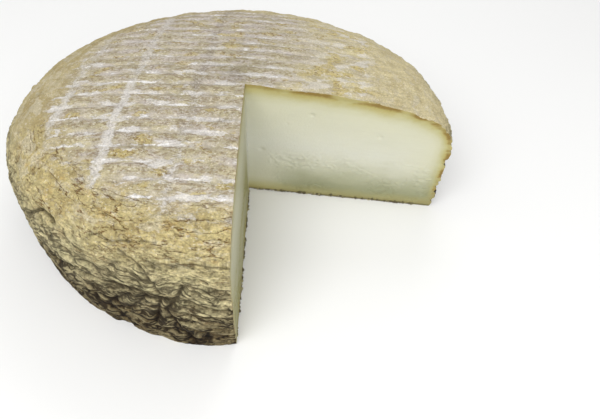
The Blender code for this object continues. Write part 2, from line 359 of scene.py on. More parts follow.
@dataclass
class Skin:
    """The uneven skin: its lumps, rack marks, crags, folds, wrinkles and cracks."""

    profile: Profile
    rack: Rack
    rack_wobble: Unevenness = Unevenness((0.012,) * 3, Seed.RACK_WOBBLE, 0.0006)
    rack_gaps: Patchiness = Patchiness((0.016, 0.005, 0.016), Seed.RACK_GAPS, -0.35, 0.25)
    rack_least: float = 0.35
    crags: Unevenness = Unevenness((0.009, 0.005, 1), Seed.CRAGS)
    crag_height: float = 0.0006
    crag_edge: Span = (0.30, 0.46)
    lumps: Unevenness = Unevenness((0.022,) * 3, Seed.LUMPS)
    lump_height: float = 0.0007
    lump_bias: float = 0.3
    lump_fade: Span = (0.07, 0.10)
    lump_loss_on_top: float = 0.5
    knobs: Unevenness = Unevenness((0.0065,) * 3, Seed.KNOBS)
    knob_height: float = 0.00080
    knob_bias: float = 0.7
    knob_loss_on_top: float = 0.7
    calm_share: float = 0.65
    calm_zone: Span = (0.72, 0.92)
    wrinkle_depth: float = 0.0013
    wrinkle_bend: Unevenness = Unevenness((0.030,) * 3, Seed.WRINKLE_BEND, 0.0048)
    wrinkle_waves: Unevenness = Unevenness((0.022, 0.022, 0.0048), Seed.WRINKLES)
    wrinkle_sharpness: float = 0.16
    wrinkle_fade: Span = (0.086, 0.102)
    wrinkle_deepens: Span = (0.10, 0.14)
    wrinkle_least: float = 0.55
    wrinkle_loss_at_folds: float = 0.5
    crease_depth: float = 0.00035
    crease_sharpness: float = 0.06
    flow_rest: float = 0.30
    flow_full: float = 0.7
    flow_reach: float = 0.0060
    flow_most: float = 0.0035
    ripples: Unevenness = Unevenness((0.012, 0.012, 0.0027), Seed.RIPPLES)
    ripple_depth: float = 0.00075
    ripple_sharpness: float = 0.14
    ripple_core: float = 0.55
    ripple_core_share: float = 0.85
    ripple_jitter: Unevenness = Unevenness((0.004, 0.004, 0.002), Seed.RIPPLE_JITTER, 0.0007)
    ripple_gaps: Patchiness = Patchiness((0.018, 0.018, 0.011), Seed.RIPPLE_GAPS, -0.30, 0.20)
    ripple_least: float = 0.35
    ripple_gain_at_folds: float = 0.3
    crack_depth: float = 0.00040
    crack_width: float = 0.00045
    crack_gaps: Patchiness = Patchiness((0.010, 0.010, 0.005), Seed.CRACK_GAPS, 0.10, 0.40)
    crack_zone: tuple[float, float, float, float] = (0.060, 0.076, 0.100, 0.116)
    plate_size: Size = (0.016, 0.016, 0.0065)
    plate_bends: tuple[Unevenness, ...] = tuple(
        Unevenness((0.007,) * 3, seed) for seed in (Seed.PLATE_BEND_X, Seed.PLATE_BEND_Y, Seed.PLATE_BEND_Z)
    )
    plate_bend: float = 0.0030
    plate_frays: tuple[Unevenness, ...] = tuple(
        Unevenness((0.0018,) * 3, seed) for seed in (Seed.PLATE_FRAY_X, Seed.PLATE_FRAY_Y, Seed.PLATE_FRAY_Z)
    )
    plate_fray: float = 0.0009
    plate_height: float = 0.00025
    plate_bias: float = 0.8
    plate_edge: Span = (0.3 * MM, 1.4 * MM)
    granule_height: float = 0.00050
    granule_length: float = 0.0017
    granule_bias: float = 0.5
    grain_height: float = 0.00030
    grain_length: float = 0.0021
    grain_bias: float = 0.6
    grain_shares: Span = (0.6, 0.5)
    fold_stray: Unevenness = Unevenness((0.006,) * 3, Seed.FOLD_STRAY, 0.0011)
    fold_fray: Unevenness = Unevenness((0.002,) * 3, Seed.FOLD_FRAY, 0.0004)
    fold_core: float = 0.50
    fold_shares: Span = (0.55, 0.45)
    crease_shares: Span = (0.4, 0.6)
    swelling_share: float = 0.22
    swelling_place: float = 2.2
    swelling_width: float = 1.2
    far_fold_count: int = 38
    far_fold_seed: int = 7
    far_fold_azimuths: Span = (0.0, 203.0)
    far_fold_starts: Span = (104, 138)
    far_fold_spreads: Span = (4, 15)
    far_fold_drops: Span = (1, 13)
    far_fold_bends: Span = (0.2, 0.8)
    far_fold_depths: Span = (0.8, 1.6)
    far_fold_widths: Span = (1.2, 1.8)
    far_fold_lowest: float = 143
    hollow_depth: float = 0.0017

    def __post_init__(self) -> None:
        """Lays out the folds: those that show, and others like them round the rest of the side."""
        chance = random.Random(self.far_fold_seed)
        folds = list(NEAR_FOLDS)
        for _ in range(self.far_fold_count):
            azimuth = chance.uniform(*self.far_fold_azimuths)
            down = chance.uniform(*self.far_fold_starts)
            spread = chance.uniform(*self.far_fold_spreads)
            drop = chance.choice((-1, 1)) * chance.uniform(*self.far_fold_drops)
            middle = (azimuth + spread / 2, down + drop * chance.uniform(*self.far_fold_bends))
            end = (azimuth + spread, min(down + drop, self.far_fold_lowest))
            depth = chance.uniform(*self.far_fold_depths)
            width = chance.uniform(*self.far_fold_widths)
            folds.append(Fold(((azimuth, down), middle, end), depth, width))
        self.folds = folds

    def around(self, azimuth: np.ndarray, down: np.ndarray) -> np.ndarray:
        """Places for noise that follows the skin: round the wheel, and down the rind as height."""
        radius = self.profile.radius
        return np.stack([radius * np.cos(azimuth), radius * np.sin(azimuth), down], axis=1)

    def fold_relief(self, azimuth: np.ndarray, down: np.ndarray) -> tuple[np.ndarray, ...]:
        """The folds' own relief, and how they bend the wrinkles round them.

        Args:
            azimuth: The places' angles round the wheel's axis.
            down: Their distances down the rind.

        Returns:
            The depth of the folds, the height of the swelling beside them, how near a crease is,
            the bent distance down the rind and how close the folds are.
        """
        groove, swelling, crease = (np.zeros_like(down) for _ in range(3))
        weights, flow = np.full_like(down, self.flow_rest), self.flow_rest * down
        deepest = max(fold.depth for fold in self.folds)
        places = self.around(azimuth, down)
        strayed = down + (self.fold_stray.at(places) + self.fold_fray.at(places))
        for fold in self.folds:
            depth = fold.depth * MM
            distance = np.abs(fold.distance(azimuth, strayed, self.profile.radius))
            off = distance / (fold.width * MM)
            line = np.exp(-((off / self.fold_core) ** 2))
            broad, sharp = self.fold_shares
            groove = np.maximum(groove, depth * (broad * np.exp(-(off**2)) + sharp * line))
            least, gain = self.crease_shares
            crease = np.maximum(crease, line * (least + gain * fold.depth / deepest))
            beside = (off - self.swelling_place) / self.swelling_width
            swelling = np.maximum(swelling, self.swelling_share * depth * np.exp(-(beside**2)))
            pull = np.exp(-((distance / self.flow_reach) ** 2)) * fold.depth / deepest
            middle = sum(place[1] for place in fold.course) / len(fold.course) * MM
            weights += pull
            flow += pull * (down + np.clip(middle + distance - down, -self.flow_most, self.flow_most))
        close = np.clip((weights - self.flow_rest) / self.flow_full, 0, 1)
        return groove, swelling, crease, flow / weights, close

    def wrinkles(self, azimuth: np.ndarray, down: np.ndarray, flow: np.ndarray, close: np.ndarray) -> tuple:
        """The wrinkles between the folds.

        Args:
            azimuth: The places' angles round the wheel's axis.
            down: Their distances down the rind.
            flow: The distances, bent along the folds.
            close: How close the folds are, from 0 to 1.

        Returns:
            The depth of the long wrinkles, that of the finer ones, and how near a crease is.
        """
        around = self.around(azimuth, flow)
        bent = around + (0, 0, 1) * self.wrinkle_bend.at(around)[:, None]
        waves = self.wrinkle_waves.at(bent)
        long = self.wrinkle_depth * np.exp(-((waves / self.wrinkle_sharpness) ** 2))
        long *= 1 - self.wrinkle_loss_at_folds * close
        core = np.exp(-((waves / self.crease_sharpness) ** 2))
        long += self.crease_depth * core
        ripples = self.ripples.at(bent + (0, 0, 1) * self.ripple_jitter.at(around)[:, None])
        gaps = self.ripple_gaps.at(around, self.ripple_gain_at_folds * close)
        where = self.ripple_least + (1 - self.ripple_least) * gaps
        fine = np.exp(-((ripples / self.ripple_sharpness) ** 2)) * where
        deepens = smoothstep(*self.wrinkle_deepens, down)
        strength = self.wrinkle_least + (1 - self.wrinkle_least) * deepens
        fade = smoothstep(*self.wrinkle_fade, down)
        core_width = self.ripple_core * self.ripple_sharpness
        fine_core = self.ripple_core_share * np.exp(-((ripples / core_width) ** 2)) * where
        crease = np.maximum(core * strength, fine_core * (1 + strength) / 2) * fade
        return long * strength * fade, self.ripple_depth * fine * fade, crease

    def plates(self, azimuth: np.ndarray, down: np.ndarray) -> tuple[np.ndarray, ...]:
        """The plates that the skin has dried into round the edge of the top.

        Args:
            azimuth: The places' angles round the wheel's axis.
            down: Their distances down the rind.

        Returns:
            How near a crack is, the tone of the plate there from 0 to 1, and where plates are.
        """
        places = self.around(azimuth, down)
        bend = self.plate_bend * np.stack([part.at(places) for part in self.plate_bends], axis=1)
        fray = self.plate_fray * np.stack([part.at(places) for part in self.plate_frays], axis=1)
        spots = (places + bend + fray) / np.asarray(self.plate_size)
        rise_from, rise_to, fall_from, fall_to = self.crack_zone
        belt = smoothstep(rise_from, rise_to, down) * (1 - smoothstep(fall_from, fall_to, down))
        gap, tone = np.ones_like(down), np.full_like(down, 0.5)
        size = Vector(self.plate_size)
        for i in np.nonzero(belt > 0)[0]:
            distances, centres = noise.voronoi(Vector(spots[i]))
            across = centres[1] - centres[0]
            steepness = Vector([a / b for a, b in zip(across, size)]).length
            gap[i] = (distances[1] ** 2 - distances[0] ** 2) / (2 * steepness)
            tone[i] = self.plate_tone(centres[0])
        crack = np.exp(-((gap / self.crack_width) ** 2)) * self.crack_gaps.at(places) * belt
        return crack, tone, belt * smoothstep(*self.plate_edge, gap)

    @staticmethod
    def plate_tone(centre: Vector) -> float:
        """A number from 0 to 1 that differs from plate to plate, from the middle of the plate."""
        code = math.sin(centre.dot(Vector((12.99, 78.23, 37.72)))) * 437.585
        return code - math.floor(code)

    def relief(self, azimuth: np.ndarray, down: np.ndarray) -> Relief:
        """All of the relief at each place of the rind.

        Args:
            azimuth: The places' angles round the wheel's axis.
            down: Their distances down the rind.

        Returns:
            The relief there.
        """
        radius, height = self.profile.at(down)
        x, y = radius * np.cos(azimuth), radius * np.sin(azimuth)
        points = np.stack([x, y, height], axis=1)
        top = 1 - smoothstep(*self.lump_fade, down)
        lumps = self.lumps.at(points) - self.lump_bias
        out = self.lump_height * lumps * (1 - self.lump_loss_on_top * top)
        calm = self.calm_share * smoothstep(*self.calm_zone, -x / self.profile.radius)
        knobs = self.knobs.at(points) - self.knob_bias
        out += self.knob_height * knobs * (1 - self.knob_loss_on_top * top) * (1 - calm)
        pressed = self.rack.relief(x, y, self.rack_wobble.at(points), self.profile.radius)
        out -= pressed * (self.rack_least + (1 - self.rack_least) * self.rack_gaps.at(points))
        crag = np.maximum(self.crags.at(points * (1, 1, 0)), 0) * top
        cluster = smoothstep(*self.crag_edge, crag)
        granules = rough_noise(points, (self.granule_length,) * 3, Seed.GRANULES) - self.granule_bias
        out += self.crag_height * crag + self.granule_height * granules * cluster
        folds, swelling, fold_crease, flow, close = self.fold_relief(azimuth, down)
        long, fine, crease = self.wrinkles(azimuth, down, flow, close)
        crack, tone, flat = self.plates(azimuth, down)
        grain = rough_noise(points, (self.grain_length,) * 3, Seed.GRAIN) - self.grain_bias
        out += self.grain_height * grain * (self.grain_shares[0] + self.grain_shares[1] * flat)
        out += self.plate_height * (tone - self.plate_bias) * flat - self.crack_depth * crack
        out += swelling - folds - long - fine
        # The hollow and the groove serve only to paint shade into the creases: broad in and beside them, and
        # a dark shadow at their bottom.
        hollow_shade = np.clip((folds + long + fine) / self.hollow_depth, 0, 1)
        return Relief(out, hollow_shade, np.maximum(fold_crease, crease), crack, flat * tone, crag, flow)


class Belt(Enum):
    """The stretches that the rind's rows go through on their way from the corner round to it again."""

    TOP = "top"
    SIDE = "side"
    BASE = "base"


@dataclass(frozen=True)
class Row:
    """One row of the rind's grid: its belt, its place there and how many columns it has.

    The place is a share of the way out from the corner on the top and the base, and a distance
    down the rind on the side.
    """

    belt: Belt
    place: float
    columns: int


@dataclass
class Sheet:
    """The points of a grid of rows, row after row."""

    rows: list[list[int]]
    points: np.ndarray
    relief: Relief
    down: np.ndarray


@dataclass
class SkinGrid:
    """The grid that the rind is made on: rays from the corner, and rows across them."""

    profile: Profile
    cut: Cut
    skin: Skin
    columns: int = 768
    spacing: float = 0.00062
    base_spacing: float = 0.0028
    base_columns: int = 96
    thinning: tuple[float, ...] = (0.45, 0.22, 0.11)
    side_squeeze: float = 0.86
    torn: Unevenness = Unevenness((0.0016,) * 3, Seed.TORN_EDGE, 0.00025)
    torn_fade: Span = (0.001, 0.006)
    torn_foot: float = 0.002
    flat_base_margin: float = 0.004
    hollows: Unevenness = Unevenness((0.014,) * 3, Seed.BASE_HOLLOWS)
    hollow_depth: float = 0.0004
    base_fade: Span = (0.90, 0.97)
    thicknesses: Span = (0.0018, 0.0046)
    thins_inward: Span = (0.3, 0.8)

    def rows(self) -> list[Row]:
        """Every row of the fine grid, from the corner on the top to the corner on the base."""
        edge = self.profile.top_edge
        count = round(edge / self.spacing)
        made = [Row(Belt.TOP, 0.0, 0)]
        for i in range(1, count + 1):
            share = i / count
            halvings = sum(share <= limit for limit in self.thinning)
            made.append(Row(Belt.TOP, share, self.columns >> halvings))
        first = float(self.profile.down_at_radius(edge))
        count = round((self.profile.length - first) / (self.spacing * self.side_squeeze))
        for i in range(1, count + 1):
            made.append(Row(Belt.SIDE, first + (self.profile.length - first) * i / count, self.columns))
        count = round(self.profile.base_radius / self.base_spacing)
        for i in range(1, count):
            made.append(Row(Belt.BASE, 1 - i / count, self.base_columns))
        made.append(Row(Belt.BASE, 0.0, 0))
        return made

    def shares(self, row: Row) -> np.ndarray:
        """How far round from the back face to the left face each column of a row lies."""
        return np.linspace(0, 1, row.columns + 1) if row.columns else np.array([0.5])

    def lay(self, rows: Sequence[Row]) -> Sheet:
        """The points of the outer skin.

        Args:
            rows: The rows to lay.

        Returns:
            Their points with the relief in them.
        """
        ids, azimuths, downs, angles, belts, marks = [], [], [], [], [], []
        for row in rows:
            share = self.shares(row)
            angle = self.cut.angle(share)
            if row.belt is Belt.SIDE:
                radius = self.profile.at(np.array(row.place))[0]
                down = np.full_like(angle, row.place)
                x, y = self.cut.place(angle, self.cut.reach(angle, radius))
            else:
                edge = self.profile.top_edge if row.belt is Belt.TOP else self.profile.base_radius
                x, y = self.cut.place(angle, row.place * self.cut.reach(angle, edge))
                down = self.profile.down_at_radius(np.hypot(x, y))
            first = sum(len(a) for a in azimuths)
            ids.append(list(range(first, first + len(share))))
            azimuths.append(np.arctan2(y, x))
            downs.append(down)
            angles.append(angle)
            belts.append(np.full(len(share), row.belt is Belt.BASE))
            marks.append((share == 0) | (share == 1) | (len(share) == 1))
        azimuth, down, angle = (np.concatenate(a) for a in (azimuths, downs, angles))
        base, on_cut = np.concatenate(belts), np.concatenate(marks)
        relief = self.skin.relief(azimuth, down)
        for values in (relief.hollow_shade, relief.groove, relief.crack, relief.plate, relief.crag):
            values[base] = 0
        radius, height = self.profile.at(down)
        outward, upward = self.profile.normal(down)
        radius = np.where(base, radius, radius + relief.height * outward)
        rise = relief.height * upward * smoothstep(0, self.flat_base_margin, self.profile.length - down)
        height = np.where(base, self.underside(azimuth, radius), height + rise)
        points = np.stack([radius * np.cos(azimuth), radius * np.sin(azimuth), height], axis=1)
        self.trim(points, angle, on_cut)
        inward = self.profile.base_radius - np.hypot(points[:, 0], points[:, 1])
        down = np.where(base, self.profile.length + inward, down)
        relief.flow = np.where(base, down, relief.flow)
        return Sheet(ids, points, relief, down)

    def underside(self, azimuth: np.ndarray, radius: np.ndarray) -> np.ndarray:
        """The height of the base above the surface it lies on: the rack's marks and small hollows."""
        x, y = radius * np.cos(azimuth), radius * np.sin(azimuth)
        points = np.stack([x, y, 0 * x], axis=1)
        hollows = self.hollow_depth * np.maximum(self.hollows.at(points), 0)
        marks = self.skin.rack.relief(x, y, 0 * x, self.profile.radius)
        return (hollows + marks) * (1 - smoothstep(*self.base_fade, radius / self.profile.radius))

    def trim(self, points: np.ndarray, angle: np.ndarray, on_cut: np.ndarray) -> None:
        """Brings the skin's edge back to the planes of the knife's cuts, a little torn.

        Args:
            points: The skin's points, which are moved in place.
            angle: The direction of each point's column from the corner.
            on_cut: Which points lie on the edge.
        """
        edge = np.where(on_cut)[0]
        across = np.stack([np.sin(angle[edge]), -np.cos(angle[edge])], axis=1)
        off = points[edge, :2] - np.array(self.cut.corner)
        stray = np.sum(off * across, axis=1)
        torn = self.torn.at(points[edge])
        torn *= smoothstep(*self.torn_fade, np.hypot(*off.T))
        torn *= smoothstep(0, self.torn_foot, points[edge, 2])
        points[edge, :2] += (torn - stray)[:, None] * across

    def thickness(self, down: np.ndarray) -> np.ndarray:
        """How thick the rind's shell is: thicker on the side, where the folds go deep."""
        thin, thick = self.thicknesses
        return thin + (thick - thin) * smoothstep(*self.skin.lump_fade, down)

    def inner(self, rows: Sequence[Row], columns: int) -> Sheet:
        """The plain surface under the skin.

        Args:
            rows: The rows of it, whose own numbers of columns don't count.
            columns: How many columns its rows have.

        Returns:
            Its points.
        """
        ids, points = [], []
        for row in rows:
            share = self.shares(Row(row.belt, row.place, columns if row.columns else 0))
            angle = self.cut.angle(share)
            if row.belt is Belt.BASE:
                distance = row.place * self.cut.reach(angle, self.profile.base_radius)
                height = np.full_like(angle, self.thicknesses[0])
            elif row.belt is Belt.SIDE:
                down = np.full_like(angle, row.place)
                outward, upward = self.profile.normal(down)
                radius, height = self.profile.at(down)
                distance = self.cut.reach(angle, radius - self.thickness(down) * outward)
                height = np.maximum(height - self.thickness(down) * upward, self.thicknesses[0])
            else:
                distance = row.place * self.cut.reach(angle, self.profile.top_edge)
                down = self.profile.down_at_radius(np.hypot(*self.cut.place(angle, distance)))
                outward, upward = self.profile.normal(down)
                thinning = smoothstep(*self.thins_inward, np.array(row.place))
                distance = distance - self.thickness(down) * outward * thinning
                height = self.profile.at(down)[1] - self.thickness(down) * upward
            x, y = self.cut.place(angle, distance)
            first = sum(len(p) for p in points)
            ids.append(list(range(first, first + len(share))))
            points.append(np.stack([x, y, height], axis=1))
        made = np.concatenate(points)
        return Sheet(ids, made, Relief.blank(made[:, 2]), made[:, 2])


Face = tuple[int, ...]


def stitch(upper: Sequence[int], lower: Sequence[int]) -> list[Face]:
    """The faces between two rows of points, which may differ in number.

    Args:
        upper: The first row.
        lower: The second row, to the first one's right when the rows run away from the viewer.

    Returns:
        Four-sided faces where the rows match, or else triangles.
    """
    if len(upper) == len(lower):
        return [(upper[i], lower[i], lower[i + 1], upper[i + 1]) for i in range(len(upper) - 1)]
    faces: list[Face] = []
    i = j = 0
    while i < len(upper) - 1 or j < len(lower) - 1:
        next_upper = (i + 1) / (len(upper) - 1) if i < len(upper) - 1 else 2.0
        next_lower = (j + 1) / (len(lower) - 1) if j < len(lower) - 1 else 2.0
        if next_upper < next_lower:
            faces.append((upper[i], lower[j], upper[i + 1]))
            i += 1
        else:
            faces.append((upper[i], lower[j], lower[j + 1]))
            j += 1
    return faces


def stitch_by_key(
    upper: Sequence[int], upper_keys: Sequence[float], lower: Sequence[int], lower_keys: Sequence[float]
) -> list[Face]:
    """The triangles between two rows of points whose places along the strip are given.

    Args:
        upper: The first row.
        upper_keys: The place of each of its points.
        lower: The second row.
        lower_keys: The place of each of its points.

    Returns:
        Triangles that fill the strip.
    """
    faces: list[Face] = []
    i = j = 0
    while i < len(upper) - 1 or j < len(lower) - 1:
        more_upper, more_lower = i < len(upper) - 1, j < len(lower) - 1
        if more_upper and (not more_lower or upper_keys[i + 1] < lower_keys[j + 1]):
            faces.append((upper[i], lower[j], upper[i + 1]))
            i += 1
        else:
            faces.append((upper[i], lower[j], lower[j + 1]))
            j += 1
    return faces


def sheet_faces(rows: Sequence[Sequence[int]]) -> list[Face]:
    """The faces of a grid of rows."""
    faces: list[Face] = []
    for upper, lower in zip(rows, rows[1:]):
        faces.extend(stitch(upper, lower))
    return faces


def add_attribute(mesh: bpy.types.Mesh, name: str, values: np.ndarray) -> None:
    """Stores one number for each point of a mesh, which a material reads by name."""
    layer = mesh.attributes.new(name, "FLOAT", "POINT")
    layer.data.foreach_set("value", np.asarray(values, np.float32))


def add_piece(name: str, mesh: bpy.types.Mesh) -> bpy.types.Object:
    """Makes a piece of the wheel from its mesh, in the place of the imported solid.

    Args:
        name: The piece's name.
        mesh: Its mesh, in the frame's own place.

    Returns:
        The piece.
    """
    piece = bpy.data.objects.new(name, mesh)
    bpy.context.scene.collection.objects.link(piece)
    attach(piece, BODY)
    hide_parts(NODE)
    LOG.info("%s: %d points, %d faces", name, len(mesh.vertices), len(mesh.polygons))
    return piece


def point_normals(points: np.ndarray, faces: Sequence[Face]) -> np.ndarray:
    """The outward direction of a surface at each of its points, weighed by the faces' areas."""
    normals = np.zeros_like(points)
    for size in (3, 4):
        corners = np.array([f for f in faces if len(f) == size], int).reshape(-1, size)
        if not len(corners):
            continue
        across = points[corners[:, 2]] - points[corners[:, 0]]
        other = points[corners[:, -1]] - points[corners[:, 1]]
        directions = np.cross(across, other) if size == 4 else np.cross(
            points[corners[:, 1]] - points[corners[:, 0]], across
        )
        for k in range(size):
            np.add.at(normals, corners[:, k], directions)
    return normals / np.maximum(np.linalg.norm(normals, axis=1, keepdims=True), 1e-12)


@dataclass
class Rind:
    """The rind: a closed shell in two pieces that meet where the top turns down into the side."""

    grid: SkinGrid
    inner_step: int = 6
    inner_base_step: int = 3
    inner_columns: int = 96
    heel_margin: float = 0.006
    base_margin: float = 0.007
    box: tuple[Vector, Vector] = field(default_factory=lambda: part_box(NODE))

    def __post_init__(self) -> None:
        """Lays the fine outer skin and the plain inner surface."""
        self.rows = self.grid.rows()
        self.outer = self.grid.lay(self.rows)
        low, high = (np.array(corner) for corner in self.box)
        np.clip(self.outer.points, low, high, out=self.outer.points)
        self.split = next(i for i, row in enumerate(self.rows) if row.belt is Belt.SIDE) - 1
        last_side = max(i for i, row in enumerate(self.rows) if row.belt is Belt.SIDE)
        side_end = self.grid.profile.length - self.heel_margin
        base_start = 1 - self.base_margin / self.grid.profile.base_radius
        kept = [0]
        for i, row in enumerate(self.rows[1:-1], start=1):
            near_heel = (row.belt is Belt.SIDE and row.place > side_end) or (
                row.belt is Belt.BASE and row.place > base_start
            )
            step = self.inner_step if i <= last_side else self.inner_base_step
            if i == self.split or (i % step == 0 and abs(i - self.split) >= step // 2 and not near_heel):
                kept.append(i)
        kept.append(len(self.rows) - 1)
        self.kept = kept
        self.inner = self.grid.inner([self.rows[i] for i in kept], self.inner_columns)
        self.normals = point_normals(self.outer.points, sheet_faces(self.outer.rows))

    def shell(self, name: str, first: int, last: int, finishes: Sequence[bpy.types.Material]) -> None:
        """One closed piece of the rind.

        Args:
            name: The piece's name.
            first: Its first row.
            last: Its last row.
            finishes: The materials of the skin and of the section that the knife bared.
        """
        outer_rows = self.outer.rows[first : last + 1]
        inner_numbers = [k for k, i in enumerate(self.kept) if first <= i <= last]
        start = outer_rows[0][0]
        count = outer_rows[-1][-1] + 1 - start
        outer = [[i - start for i in row] for row in outer_rows]
        inner_start = self.inner.rows[inner_numbers[0]][0]
        inner = [[i - inner_start + count for i in self.inner.rows[k]] for k in inner_numbers]
        keys = [self.kept[k] - first for k in inner_numbers]
        inner_points = self.inner.points[inner_start : self.inner.rows[inner_numbers[-1]][-1] + 1]
        points = np.concatenate([self.outer.points[start : start + count], inner_points])
        skin_faces = sheet_faces(outer)
        hidden = [tuple(reversed(face)) for face in sheet_faces(inner)]
        row_keys = list(range(len(outer)))
        section = stitch_by_key([r[0] for r in outer], row_keys, [r[0] for r in inner], keys)
        section += stitch_by_key([r[-1] for r in inner], keys, [r[-1] for r in outer], row_keys)
        if first > 0:
            hidden += stitch(inner[0], outer[0])
        if last < len(self.rows) - 1:
            hidden += stitch(outer[-1], inner[-1])
        mesh = bpy.data.meshes.new(name)
        mesh.from_pydata(points.tolist(), [], skin_faces + section + hidden)
        for finish in finishes:
            mesh.materials.append(finish)
        slots = np.zeros(len(mesh.polygons), np.int32)
        slots[len(skin_faces) :] = 1
        mesh.polygons.foreach_set("material_index", slots)
        self.shade(mesh, len(skin_faces), self.normals[start : start + count])
        part = slice(start, start + count)
        blank = np.zeros(len(inner_points))
        for label in ("hollow_shade", "groove", "crack", "plate", "crag"):
            values = getattr(self.outer.relief, label)[part]
            add_attribute(mesh, label, np.concatenate([values, blank]))
        add_attribute(mesh, "flow", np.concatenate([self.outer.relief.flow[part], blank]) / MM)
        add_attribute(mesh, "down", np.concatenate([self.outer.down[part], blank]) / MM)
        add_attribute(mesh, "under", np.concatenate([np.zeros(count), self.depths(inner_points)]) / MM)
        add_piece(name, mesh)

    def depths(self, points: np.ndarray) -> np.ndarray:
        """How deep under the rind's plain form each point of the inner surface lies."""
        profile = self.grid.profile
        radii = np.hypot(points[:, 0], points[:, 1])
        nearest = points[:, 2].copy()
        for radius, height in zip(profile.radii[::2], profile.heights[::2]):
            nearest = np.minimum(nearest, np.hypot(radii - radius, points[:, 2] - height))
        return nearest

    def shade(self, mesh: bpy.types.Mesh, skin_faces: int, normals: np.ndarray) -> None:
        """Shades the skin smooth, across the line between the pieces too, and the rest flat.

        Args:
            mesh: The piece's mesh, whose skin comes first.
            skin_faces: How many faces the skin has.
            normals: The skin's direction at each of its points.
        """
        mesh.shade_smooth()
        loops = np.zeros(len(mesh.loops), np.int32)
        mesh.loops.foreach_get("vertex_index", loops)
        totals = np.zeros(len(mesh.polygons), np.int32)
        mesh.polygons.foreach_get("loop_total", totals)
        flat = np.zeros(len(mesh.polygons) * 3)
        mesh.polygons.foreach_get("normal", flat)
        made = np.repeat(flat.reshape(-1, 3), totals, axis=0)
        skin_loops = int(totals[:skin_faces].sum())
        made[:skin_loops] = normals[loops[:skin_loops]]
        mesh.normals_split_custom_set(made.tolist())

    def build(self, skin: bpy.types.Material, section: bpy.types.Material) -> None:
        """Makes both pieces of the rind."""
        self.shell("rind_top", 0, self.split, (skin, section))
        self.shell("rind_side", self.split, len(self.rows) - 1, (skin, section))


